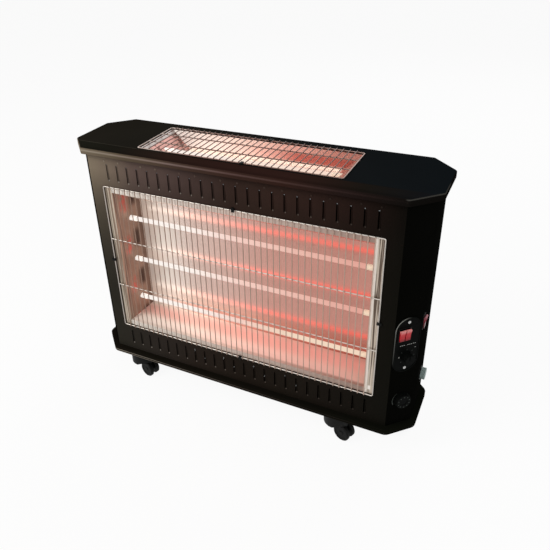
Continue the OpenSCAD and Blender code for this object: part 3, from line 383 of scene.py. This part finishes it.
# Stretches over which its tones change: painted reflection of the glow, a bright painted reflection at the
# left end, floor and lips
GLOW_REFLECTION_X, LEFT_REFLECTION_X, FLOOR_X, LIPS_X = (-0.25, 0.2), (-0.22, -0.12), (-0.25, 0.25), (-0.26, 0.26)

low_tube_z, next_tube_z = (sum(end.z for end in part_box(tube)) / 2 for tube in ("tube_1", "tube_2"))
TUBE_STEP = next_tube_z - low_tube_z
GAP_MIDDLE = (next_tube_z + low_tube_z) / 2

# The top trough: half its length at the mouth, how far its ends lean inward, and where its tones, which are
# painted reflections, change
TROUGH_HALF = 0.196
TROUGH_DEPTH, TROUGH_END_SLOPE = 34 * MM, 41 * MM
TROUGH_X, TROUGH_GLOW_REFLECTION_X = (-0.17, 0.15), (-0.2, 0.15)
trough_low, trough_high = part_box("top_reflector")
trough_middle = (trough_low + trough_high) / 2


def mirror(name, paint_of, rough, uneven=0.1, dents=0.12):
    """Polished aluminium, rolled and faintly dented; paint_of gives its tone with painted reflections, its
    metal share and added haze.
    """
    make = Finish(name)
    rolled = make.noise(300.0, stretch=(0.06, 1.0, 1.0))
    height = make.plus(make.times(rolled, 0.1), make.noise(22.0))
    tone, metal, haze = paint_of(make)
    return make.done(color=tone, metal=metal, rough=make.plus(make.vary(rough, uneven, rolled), haze),
                     normal=make.bump(height, dents, 1.5 * MM))


def clouded(make, tone):
    """The tone with the faint dark clouds of hot aluminium."""
    return make.shade(tone, 0.16, make.noise(14.0, 4.0))


def streaks(make, low, high, dark, light):
    """Upright streaks from the dark to the light display colour, where their noise goes from low to high."""
    streak = make.noise(420.0, stretch=(1.0, 1.0, 0.02))
    return make.mix(make.span(streak, low, high), rgb(*dark), rgb(*light))


def on_lip(make):
    """1 on the lip that stands round the mouth, 0 behind it."""
    return make.span(make.axis("Y"), LIP_BACK + MM, LIP_BACK)


def main_paint(make):
    """Painted reflection of the glow along X, a bright painted reflection at the left end, and a floor and
    lips that are duller than the back and the roof, with painted reflections and highlights.
    """
    x, y, z = (make.axis(a) for a in "XYZ")
    # Painted reflection of the tubes' glow, white on the left and pink on the right
    tone = clouded(make, make.tones("X", GLOW_REFLECTION_X, (246, 234, 224), (236, 206, 194), (218, 166, 152),
                                    (208, 150, 136)))
    # Bright painted reflection at the left end
    left = make.span(x, LEFT_REFLECTION_X[1], LEFT_REFLECTION_X[0])
    tone = make.mix(left, tone, rgb(255, 246, 236))
    floor = make.times(make.span(z, FLOOR_TOP + MM, FLOOR_TOP - MM),
                       make.span(y, BACK_WALL_Y - 0.5 * MM, BACK_WALL_Y - 3.5 * MM))
    # Painted reflections on the floor, with a band of reflected glow
    floor_tone = make.tones("X", FLOOR_X, (252, 244, 236), (248, 228, 218), (226, 198, 186))
    floor_tone = make.mix(make.within(y, *FLOOR_GLOW_Y, 12 * MM), floor_tone, rgb(240, 192, 182))
    lips = make.most(make.span(z, MOUTH_LOW + 1.5 * MM, MOUTH_LOW + 0.5 * MM),
                     make.span(z, MOUTH_HIGH - 1.5 * MM, MOUTH_HIGH - 0.5 * MM))
    # Painted highlights on the lips
    lip_tone = make.tones("X", LIPS_X, (240, 232, 222), (214, 194, 182), (156, 130, 118))
    tone = make.mix(lips, make.mix(floor, tone, floor_tone), lip_tone)
    dull = make.most(make.times(floor, 0.75), make.times(lips, 0.5), make.times(left, 0.8))
    return tone, make.minus(1.0, dull), make.times(floor, 0.15)


def gap_share(make, rise, low, high):
    """1 at the middle of each gap between two tubes, moved up by rise, 0 at the tubes."""
    height = make.minus(make.axis("Z"), GAP_MIDDLE + rise)
    wave = make.cosine(make.times(height, 2 * math.pi / TUBE_STEP))
    return make.span(wave, low, high)


def left_paint(make):
    """Painted reflections on the left end: a dull streaked front, red patches, then dark ones between the
    tubes, and painted shade in a stripe at the rear.
    """
    y = make.axis("Y")
    base = make.mix(make.noise(30.0, 3.0, 0.6), rgb(178, 150, 132), rgb(128, 102, 88))
    # Painted reflection of the red glow between the tubes
    red = make.times(make.within(y, *RED_PATCH_Y, 4 * MM), gap_share(make, -9 * MM, -0.1, 0.7),
                     make.span(make.noise(90.0, 3.0), 0.3, 0.6))
    field = make.mix(make.times(red, 0.85), base, rgb(204, 100, 88))
    # Dark painted reflections between the tubes, and painted shade in a stripe at the rear
    patches = make.times(make.within(y, *DARK_PATCH_Y, 5 * MM), gap_share(make, 0.0, -0.2, 0.8))
    dark = make.most(patches, make.times(make.within(y, *REAR_STRIPE_Y, 3 * MM), 0.45))
    field = make.mix(make.times(dark, 0.9), field, rgb(58, 38, 30))
    front = streaks(make, 0.42, 0.6, (118, 96, 84), (190, 166, 148))
    field = make.mix(make.span(y, END_FRONT_Y[1], END_FRONT_Y[0]), field, front)
    lip = streaks(make, 0.42, 0.6, (128, 114, 98), (196, 182, 164))
    return make.mix(on_lip(make), field, lip), 0.45, 0.0


def right_paint(make):
    """Right end: a streaked lip with a painted highlight on its inner edge and a bright spot, and a painted
    pink reflection inside.
    """
    x, z = make.axis("X"), make.axis("Z")
    lip = streaks(make, 0.46, 0.56, (92, 76, 64), (200, 186, 170))
    # Painted highlight on the inner edge
    lip = make.mix(make.span(x, INNER_EDGE_X[1], INNER_EDGE_X[0]), lip, rgb(246, 238, 228))
    spot = make.times(make.within(z, *LIP_SPOT_Z, 2 * MM), make.within(x, *LIP_SPOT_X, MM))
    lip = make.mix(spot, lip, rgb(240, 232, 224))
    return make.mix(on_lip(make), clouded(make, rgb(196, 170, 156)), lip), 0.6, 0.0


def top_paint(make):
    """Top trough with painted reflections of its glowing tube: back wall white to red, a cream band at its
    foot, a pale front and a pink left end.
    """
    x, y, z = (make.axis(a) for a in "XYZ")
    tone = clouded(make, make.tones("X", TROUGH_GLOW_REFLECTION_X, (226, 206, 190), (214, 172, 158), (198, 136, 120)))
    wall = make.tones("X", TROUGH_X, (255, 250, 244), (255, 244, 236), (246, 208, 196), (182, 102, 90),
                      (170, 92, 80))
    wall_top = make.tones("X", TROUGH_X, (255, 250, 244), (250, 232, 222), (226, 184, 172), (188, 134, 122))
    wall = make.mix(make.span(z, trough_high.z - 16 * MM, trough_high.z - 8 * MM), wall, wall_top)
    tone = make.mix(make.span(y, trough_middle.y + 36 * MM, trough_middle.y + 46 * MM), tone, wall)
    foot = make.span(z, trough_low.z + 9 * MM, trough_low.z + 4 * MM)
    tone = make.mix(foot, tone, rgb(255, 240, 228))
    front = make.span(y, trough_middle.y - 44 * MM, trough_middle.y - 50 * MM)
    tone = make.mix(front, tone, rgb(245, 218, 199))

    lean = make.times(make.minus(trough_high.z, z), TROUGH_END_SLOPE / TROUGH_DEPTH)
    beyond = make.minus(make.plus(lean, trough_middle.x - TROUGH_HALF), x)
    end = make.mix(make.span(make.noise(60.0), 0.56, 0.62), rgb(212, 160, 150), rgb(120, 78, 70))
    lip = make.span(z, trough_high.z - 7 * MM, trough_high.z - 6 * MM)
    end = make.mix(lip, end, rgb(176, 168, 164))
    return make.mix(make.span(beyond, -2.2 * MM, -1.2 * MM), tone, end), 0.5, 0.0


# ------------------------------------------------------------------ glowing tubes and coils

GLOW_X, TOP_GLOW_X = (-0.24, 0.24), (-0.2, 0.18)
MIRRORED_X, MIRRORED_STRENGTH = (-0.24, 0.1), 2.2     # how the glow shows in the reflectors
CAST_X = (-0.22, 0.16)                                # the light that it casts, from left to right
CAST = ((255, 222, 206), (255, 176, 158), (255, 146, 130))
TOP_CAST = ((255, 244, 236), (255, 226, 212), (255, 200, 184))
CREAM_X = (-0.04, 0.12)                               # where the lowest tube turns cream


def glow(name, tone_of, seen=1.0, cast_colors=CAST, cast_strength=1.4, alpha=1.0):
    """Glowing surface: near white to the eye, pinker in the reflectors, redder in the light it casts."""
    make = Finish(name)
    banding = make.noise(160.0, stretch=(1.0, 0.1, 0.1))
    tone = make.shade(tone_of(make), 0.1, banding)
    mirrored = make.tones("X", GLOW_X, (250, 240, 232), (255, 186, 182), (248, 156, 150))
    cast = make.tones("X", CAST_X, *cast_colors)
    path = make.node("ShaderNodeLightPath").outputs
    color = make.mix(path["Is Glossy Ray"], make.mix(path["Is Camera Ray"], cast, tone), mirrored)
    bright = make.ramp(make.axis("X"), MIRRORED_X, greys(1.0, 0.8, 0.78))
    strength = make.plus(make.times(path["Is Glossy Ray"], bright, MIRRORED_STRENGTH),
                         make.times(path["Is Camera Ray"], seen),
                         make.times(path["Is Diffuse Ray"], cast_strength))
    return make.done(color=(0.05, 0.04, 0.035, 1), rough=0.3, specular=0.1, alpha=alpha, glow=color,
                     glow_strength=strength, normal=make.bump(banding, 0.1, 0.3 * MM))


def front_heat(make):
    """White on the left, pink on the right; the lowest tube stays cream at its right end."""
    tone = make.tones("X", GLOW_X, (250, 242, 236), (252, 244, 237), (243, 204, 192), (232, 182, 168),
                      (222, 160, 146))
    lowest = make.span(make.axis("Z"), GAP_MIDDLE, GAP_MIDDLE - 30 * MM)
    cream = make.times(lowest, make.span(make.axis("X"), *CREAM_X))
    return make.mix(cream, tone, rgb(241, 216, 192))


def top_heat(make):
    return make.tones("X", TOP_GLOW_X, (252, 246, 240), (250, 230, 216), (246, 218, 200))


def coil_heat(make):
    return make.tones("X", GLOW_X, (255, 250, 244), (255, 226, 210), (250, 192, 174))


# ------------------------------------------------------------------ controls

PLATE_T, PLATE_FLOOR, DIAL_CROWN = 2.5, 1.7, 9.3    # the rim's, floor's and dial's rise over the sheet, in mm
KNOB_LIFT = 13.3                                    # the selector knob's rise over the plate's floor, in mm
ROOT_HALF = math.sqrt(0.5)
RIGHTWARD = Vector((1, 1, 0)).normalized()      # along the right front corner, seen from outside
OUTWARD = Vector((1, -1, 0)).normalized()
plate_low, plate_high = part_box("control_plate")
plate_middle = (plate_low + plate_high) / 2
panel_point = plate_middle - OUTWARD * PLATE_T / 2 * MM
SHEET_OUT = OUTWARD.dot(panel_point)            # distance of the corner's sheet along its outward normal


def outward_place(make):
    """Distance along the outward normal of the right front corner."""
    return make.times(make.minus(make.axis("X"), make.axis("Y")), ROOT_HALF)


def gloss(make, tone):
    """Glossy moulding in that tone, for the control plate and the dial."""
    return make.done(color=make.shade(tone, 0.2, make.noise(70.0, 3.0)), specular=0.015, rough=0.38,
                     normal=make.bump(make.noise(300.0), 0.2, 0.1 * MM))


def dial(name):
    """Glossy black knob whose raised dots are picked out in grey."""
    make = Finish(name)
    crown = SHEET_OUT + DIAL_CROWN * MM
    dots = make.span(outward_place(make), crown + 0.2 * MM, crown + 0.4 * MM)
    return gloss(make, make.mix(dots, rgb(11, 12, 11), rgb(66, 70, 66)))


def plate(name):
    """Glossy black moulding whose raised border carries a painted highlight on its left side and upper arc.
    """
    make = Finish(name)
    across = make.times(make.plus(make.axis("X"), make.axis("Y")), ROOT_HALF)
    middle = RIGHTWARD.dot(plate_middle)
    floor = SHEET_OUT + PLATE_FLOOR * MM
    border = make.span(outward_place(make), floor + 0.2 * MM, floor + 0.5 * MM)
    left = make.span(across, middle + 6 * MM, middle - 16 * MM)
    upper = make.ramp(make.axis("Z"), (plate_low.z + 16 * MM, plate_high.z - 8 * MM),
                      greys(0.0, 0.3, 0.5, 1.0))
    # Painted highlight on the border
    return gloss(make, make.mix(make.times(border, left, upper), rgb(11, 12, 11), rgb(134, 134, 128)))


def rocker_red(name, rocker, *colors):
    """Clear red moulding with painted shade at the foot of the rocker and a painted glint at its top."""
    make = Finish(name)
    low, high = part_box(rocker)
    tone = make.shade(make.tones("Z", (low.z, high.z), *colors), 0.25, make.noise(240.0))
    return make.done(color=tone, specular=0.25, rough=0.3, normal=make.bump(make.noise(200.0), 0.3, 0.1 * MM))


# ------------------------------------------------------------------ dressing the frame

look = {
    "black_shell": enamel("black_shell", back_tone),
    "cover": enamel("cover", cover_tone, specular=0.0),
    "tray": enamel("tray", tray_tone, specular=0.0),
    "ends": enamel("ends", end_tone, specular=0.0),
    "bronze_black": enamel("bronze_black", panel_tone),
    "rivet": enamel("rivet", rivet_tone, 0.4, 0.03),
    "mirror": mirror("mirror", main_paint, 0.24),
    "left_end_mirror": mirror("left_end_mirror", left_paint, 0.4, uneven=0.0),
    "right_end_mirror": mirror("right_end_mirror", right_paint, 0.35),
    "top_mirror": mirror("top_mirror", top_paint, 0.45, dents=0.05),
    "quartz": glow("quartz", front_heat, alpha=0.85),
    "top_quartz": glow("top_quartz", top_heat, cast_colors=TOP_CAST, cast_strength=2.7, alpha=0.85),
    "coil": glow("coil", coil_heat, 1.05),
    "ceramic": ceramic("ceramic"),
    # Painted reflections and highlights in the wires' and borders' colours along X
    "wire": wire("wire", (150, 126, 110), (166, 142, 128), (198, 172, 156)),
    "top_wire": wire("top_wire", (100, 78, 70), (84, 60, 52), (88, 62, 54)),
    "border": wire("border", (190, 182, 174), (206, 198, 190)),
    "top_border": wire("top_border", (176, 166, 158), (118, 92, 84), (110, 84, 76), (150, 128, 118)),
    "plate": plate("plate"),
    "dial": dial("dial"),
    # Red rocker colours run from painted shade at the foot to a painted highlight at the top
    "red_plastic": rocker_red("red_plastic", "left_rocker", (120, 12, 20), (196, 24, 36), (206, 34, 44),
                              (238, 150, 146)),
    "end_red": rocker_red("end_red", "end_rocker", (70, 8, 18), (110, 16, 32), (140, 28, 46),
                          (186, 104, 112)),
    "galvanised": plain("galvanised", rgb(150, 152, 155), 0.45, metal=1.0, grain=120.0, vary=0.35),
    "black_plastic": plain("black_plastic", rgb(15, 15, 14), 0.5, specular=0.1),
    "gloss_black": plain("gloss_black", rgb(11, 12, 11), 0.35, specular=0.02, grain=300.0, depth=0.1 * MM),
    "pale_plastic": plain("pale_plastic", rgb(140, 156, 152), 0.45, specular=0.4, vary=0.12),
    "screw": plain("screw", rgb(200, 200, 198), 0.3, metal=1.0, grain=500.0),
    "insulation": plain("insulation", rgb(150, 60, 45), 0.55),
    "block": plain("block", rgb(224, 218, 205), 0.5),
    "blue_plastic": plain("blue_plastic", rgb(60, 82, 96), 0.5),
    "brass": plain("brass", rgb(190, 150, 95), 0.35, metal=1.0, grain=250.0),
    "tyre": plain("tyre", rgb(12, 12, 11), 0.55, specular=0.1, grain=500.0),
    "print": plain("print", rgb(190, 190, 184), 0.5, specular=0.2, grain=400.0),
    "dim_print_and_highlight": plain("dim_print_and_highlight", rgb(60, 64, 60), 0.5, specular=0.1, grain=400.0),
}

# Nodes whose finish differs from the others in their slot
own_look = {"top_cover": "cover", "base_tray": "tray", "left_end_panel": "ends", "right_end_panel": "ends",
            "left_reflector_end": "left_end_mirror", "right_reflector_end": "right_end_mirror",
            "top_reflector": "top_mirror", "top_tube": "top_quartz", "top_guard_wires": "top_wire",
            "front_guard_frame": "border", "top_guard_frame": "top_border", "control_plate": "plate",
            "thermostat_dial": "dial", "end_rocker": "end_red"}
slot_of = {s["node"]: s["material_slot"] for s in frame["record"]["subparts"]}
SHARP_ANGLE = 32          # edges sharper than this many degrees stay sharp
WELD_DISTANCE = 0.01 * MM


def smoothing():
    """Node group that shades faces smooth and keeps edges sharper than the limit."""
    group = bpy.data.node_groups.new("smooth_by_angle", "GeometryNodeTree")
    group.interface.new_socket("Geometry", in_out="INPUT", socket_type="NodeSocketGeometry")
    group.interface.new_socket("Geometry", in_out="OUTPUT", socket_type="NodeSocketGeometry")
    start, end = group.nodes.new("NodeGroupInput"), group.nodes.new("NodeGroupOutput")
    faces, edges = (group.nodes.new("GeometryNodeSetShadeSmooth") for _ in range(2))
    faces.domain, edges.domain = "FACE", "EDGE"
    edges.inputs["Shade Smooth"].default_value = False
    angle = group.nodes.new("GeometryNodeInputMeshEdgeAngle")
    sharp = group.nodes.new("FunctionNodeCompare")
    sharp.inputs[1].default_value = math.radians(SHARP_ANGLE)
    group.links.new(angle.outputs["Unsigned Angle"], sharp.inputs[0])
    group.links.new(sharp.outputs[0], edges.inputs["Selection"])
    group.links.new(start.outputs[0], faces.inputs["Geometry"])
    group.links.new(faces.outputs[0], edges.inputs["Geometry"])
    group.links.new(edges.outputs[0], end.inputs[0])
    return group


def dress(piece, name):
    piece.data.materials.clear()
    piece.data.materials.append(look[name])


smooth_group = smoothing()
for name, piece in nodes.items():
    dress(piece, own_look.get(name, slot_of[name]))
    weld = piece.modifiers.new("weld", "WELD")
    weld.merge_threshold = WELD_DISTANCE
    smooth = piece.modifiers.new("smooth", "NODES")
    smooth.node_group = smooth_group


# ------------------------------------------------------------------ heating coils

CAP_GRIP = 13 * MM        # how far the coil's windings stay from the tube's ends
COIL_RADIUS, COIL_WIRE, COIL_PITCH = 2.2 * MM, 0.45 * MM, 2.2 * MM
COIL_STEPS, COIL_SIDES = 12, 6      # straight steps in a turn, and sides of the wire
PIN_RADIUS, PIN_SIDES, PIN_BEND = 0.9 * MM, 10, 2 * MM


def new_piece(name, bm, finish_name, body):
    """A piece of the scene from the bmesh, in that finish, which rides on the body."""
    mesh = bpy.data.meshes.new(name)
    bm.normal_update()
    bm.to_mesh(mesh)
    bm.free()
    piece = bpy.data.objects.new(name, mesh)
    scene.collection.objects.link(piece)
    dress(piece, finish_name)
    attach(piece, body)
    return piece


def add_tube(bm, points, radius, sides):
    """Closed round rod along the points, with flat ends."""
    side = Vector((0, 0, 1))
    rings = []
    for i, p in enumerate(points):
        along = (points[min(i + 1, len(points) - 1)] - points[max(i - 1, 0)]).normalized()
        side = (side - along * side.dot(along)).normalized()
        other = along.cross(side)
        turn = [2 * math.pi * k / sides for k in range(sides)]
        rings.append([bm.verts.new(p + (side * math.cos(a) + other * math.sin(a)) * radius) for a in turn])
    for a, b in zip(rings, rings[1:]):
        for k in range(sides):
            bm.faces.new((a[k], a[(k + 1) % sides], b[(k + 1) % sides], b[k]))
    bm.faces.new(rings[0][::-1])
    bm.faces.new(rings[-1])


def coil_piece(name, tube, element):
    """Wound resistance wire between the caps, with a straight pin out through each cap."""
    low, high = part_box(element)
    middle = (low + high) / 2
    left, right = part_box(tube)[0].x + CAP_GRIP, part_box(tube)[1].x - CAP_GRIP
    steps = round((right - left) / COIL_PITCH) * COIL_STEPS
    points = []
    for i in range(steps + 1):
        a = 2 * math.pi * i / COIL_STEPS
        points.append(Vector((left + (right - left) * i / steps, middle.y + COIL_RADIUS * math.cos(a),
                              middle.z + COIL_RADIUS * math.sin(a))))
    bm = bmesh.new()
    add_tube(bm, points, COIL_WIRE, COIL_SIDES)
    for end, start, outer, direction in ((points[0], left, low.x, -1), (points[-1], right, high.x, 1)):
        bend = Vector((start + direction * PIN_BEND, middle.y, middle.z))
        tip = Vector((outer, middle.y, middle.z))
        add_tube(bm, [end, end.lerp(bend, 0.5), bend, tip], PIN_RADIUS, PIN_SIDES)
    piece = new_piece(name, bm, "coil", "casing")
    for face in piece.data.polygons:
        face.use_smooth = True
    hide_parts(element)


for number in (1, 2, 3):
    coil_piece("coil_%d" % number, "tube_%d" % number, "element_%d" % number)
coil_piece("top_coil", "top_tube", "top_element")

# ------------------------------------------------------------------ marks on the controls, and a painted highlight by the dial

# Marks are measured in mm and degrees; a size is a length and a width, a place is to the right and up
MARK_T, MARK_SINK = 0.12, 0.02
ROCKER_STROKE, ROCKER_STROKES = (2.4, 0.9), (-11.5, -8.0, -4.5, 2.5, 6.0, 9.5, 13.5, 17.0)
ROCKER_STROKES_V, ROCKER_STROKES_FALL = 0.4, 0.06
ROCKER_DOT, ROCKER_DOT_PLACE = (1.6, 1.6), (18.0, -9.0)
SELECTOR_BLOB, SELECTOR_BLOB_PLACE = (2.0, 1.8), (-15.0, 1.0)
SELECTOR_STROKE, SELECTOR_RING, SELECTOR_STOPS = (3.0, 0.8), 14.6, (45, 90, 135, 225, 315, 0)
POINTER, POINTER_PLACE = (6.0, 1.2), (0, 6.0)
# Painted highlight beside the dial: a growing crescent of dashes
CRESCENT_RING, CRESCENT_START, CRESCENT_STEP, CRESCENT_COUNT = 18.6, 126, 6, 14
CRESCENT_LENGTH, CRESCENT_WIDTH, CRESCENT_GROWTH = 2.8, 0.5, 0.12
joint_at = {j["name"]: Vector(j["pos_m"]) for j in frame["record"]["behaviour"]["joints"]}
selector_spot, dial_spot = joint_at["selector_turn"], joint_at["thermostat_turn"]


class Face:
    """A plane parallel to the right front corner, to print on or to paint a highlight on, that many mm above
    its sheet.
    """

    def __init__(self, spot, rise):
        along = (spot - panel_point).dot(RIGHTWARD)
        self.origin = panel_point + RIGHTWARD * along + OUTWARD * rise * MM
        self.origin.z = spot.z

    def at(self, u, v, d):
        """The point u to the right of the spot, v above it and d out of the plane, in mm."""
        return self.origin + (RIGHTWARD * u + Vector((0, 0, 1)) * v + OUTWARD * d) * MM


def add_dash(bm, face, place, size, angle=0.0, steps=6):
    """Thin bar with round ends, on the face at the place and turned by angle from the right, for print and
    for a painted highlight.
    """
    (u, v), (length, width) = place, size
    a = math.radians(angle)
    half = max(length - width, 0) / 2
    rim = []
    for end, start in ((1, -90), (-1, 90)):
        for k in range(steps + 1):
            t = math.radians(start + 180 * k / steps)
            rim.append((end * half + width / 2 * math.cos(t), width / 2 * math.sin(t)))
    spots = [(u + p * math.cos(a) - q * math.sin(a), v + p * math.sin(a) + q * math.cos(a)) for p, q in rim]
    low = [bm.verts.new(face.at(p, q, -MARK_SINK)) for p, q in spots]
    high = [bm.verts.new(face.at(p, q, MARK_T)) for p, q in spots]
    bm.faces.new(high)
    bm.faces.new(low[::-1])
    for i in range(len(low)):
        k = (i + 1) % len(low)
        bm.faces.new((low[i], low[k], high[k], high[i]))


def on_ring(radius, degrees):
    """The place at that angle on a ring round the face's spot."""
    t = math.radians(degrees)
    return radius * math.cos(t), radius * math.sin(t)


def plate_marks():
    """Strokes and a dot under the two rockers, and a blob on the left of the selector."""
    bm = bmesh.new()
    plate_face = Face(plate_middle, PLATE_FLOOR)
    for i, u in enumerate(ROCKER_STROKES):
        add_dash(bm, plate_face, (u, ROCKER_STROKES_V - ROCKER_STROKES_FALL * i), ROCKER_STROKE)
    add_dash(bm, plate_face, ROCKER_DOT_PLACE, ROCKER_DOT)
    add_dash(bm, Face(selector_spot, PLATE_FLOOR), SELECTOR_BLOB_PLACE, SELECTOR_BLOB)
    new_piece("plate_marks", bm, "print", "casing")


def selector_marks():
    """Strokes round the selector, one at each of its stops."""
    bm = bmesh.new()
    face = Face(selector_spot, PLATE_FLOOR)
    for angle in SELECTOR_STOPS:
        add_dash(bm, face, on_ring(SELECTOR_RING, angle), SELECTOR_STROKE, angle)
    new_piece("selector_marks", bm, "dim_print_and_highlight", "casing")


def dial_crescent_highlight():
    """Painted highlight: a growing crescent on the sheet round the thermostat dial."""
    bm = bmesh.new()
    face = Face(dial_spot, 0.0)
    for i in range(CRESCENT_COUNT):
        angle = CRESCENT_START + CRESCENT_STEP * i
        size = (CRESCENT_LENGTH, CRESCENT_WIDTH + CRESCENT_GROWTH * i)
        add_dash(bm, face, on_ring(CRESCENT_RING, angle), size, angle + 90, steps=3)
    new_piece("dial_crescent_highlight", bm, "dim_print_and_highlight", "casing")


def selector_pointer():
    """Stroke on the front of the selector's knob, which turns with it."""
    bm = bmesh.new()
    add_dash(bm, Face(selector_spot, PLATE_FLOOR + KNOB_LIFT), POINTER_PLACE, POINTER, 90)
    new_piece("selector_pointer", bm, "dim_print_and_highlight", "selector")


plate_marks()
selector_marks()
dial_crescent_highlight()
selector_pointer()

# ------------------------------------------------------------------ stage and light

WORLD_LIGHT = 0.35        # light from all around, against the full white that is seen
FLOOR_SIZE, FLOOR_DROP = 40, 0.2 * MM
FLOOR_WHITE = 0.93        # share of full white in the floor that is seen
# The floor right under the heater stays in its shadow, with soft edges
SHADOW_X, SHADOW_X_EDGE = (-0.3, 0.3), 40 * MM
SHADOW_Y, SHADOW_Y_EDGE = (-0.005, 0.12), 22 * MM


def seen_share(make):
    """1 for camera, glossy and transmission rays, 0 for the rest."""
    path = make.node("ShaderNodeLightPath").outputs
    return make.most(path["Is Camera Ray"], path["Is Glossy Ray"], path["Is Transmission Ray"])


def studio_world():
    """White where it is seen, dim in the light that it gives."""
    world = bpy.data.worlds.new("studio")
    world.use_nodes = True
    make = Maker(world.node_tree)
    strength = make.plus(make.times(seen_share(make), 1.0 - WORLD_LIGHT), WORLD_LIGHT)
    background = make.node("ShaderNodeBackground", {"Color": WHITE, "Strength": strength})
    make.node("ShaderNodeOutputWorld", {"Surface": background.outputs[0]})
    return world


def floor_white():
    """Pale matte floor that is seen as nearly white, apart from the shadow under the heater."""
    m = bpy.data.materials.new("floor")
    m.use_nodes = True
    make = Maker(m.node_tree)
    matte = make.node("ShaderNodeBsdfDiffuse", {"Color": (0.82, 0.82, 0.82, 1)})
    white = make.node("ShaderNodeEmission", {"Color": WHITE, "Strength": 1.0})
    shadow = make.times(make.within(make.axis("X"), *SHADOW_X, SHADOW_X_EDGE),
                        make.within(make.axis("Y"), *SHADOW_Y, SHADOW_Y_EDGE))
    share = make.times(seen_share(make), make.minus(1.0, shadow), FLOOR_WHITE)
    both = make.node("ShaderNodeMixShader", {0: share, 1: matte.outputs[0], 2: white.outputs[0]})
    make.node("ShaderNodeOutputMaterial", {"Surface": both.outputs[0]})
    return m


def lamp(name, place, aim_z, size, watts, color=(1, 1, 1)):
    """Square area lamp at the place, turned to a point above the middle of the heater's foot."""
    data = bpy.data.lights.new(name, "AREA")
    data.size = size
    data.energy = watts
    data.color = color
    o = bpy.data.objects.new(name, data)
    scene.collection.objects.link(o)
    o.location = place
    o.rotation_euler = (Vector((0, 0, aim_z)) - Vector(place)).to_track_quat("-Z", "Y").to_euler()


scene.world = studio_world()
bpy.ops.mesh.primitive_plane_add(size=FLOOR_SIZE, location=(0, 0, -FLOOR_DROP))
floor = bpy.context.object
floor.name = "floor"
floor.data.materials.append(floor_white())

lamp("key", place=(-1.7, -2.0, 2.3), aim_z=0.3, size=1.6, watts=62, color=(1.0, 0.97, 0.93))
lamp("fill", place=(2.4, -1.4, 1.6), aim_z=0.3, size=2.0, watts=24, color=(0.94, 0.97, 1.0))
lamp("back", place=(0.3, 2.4, 2.0), aim_z=0.4, size=1.8, watts=22)
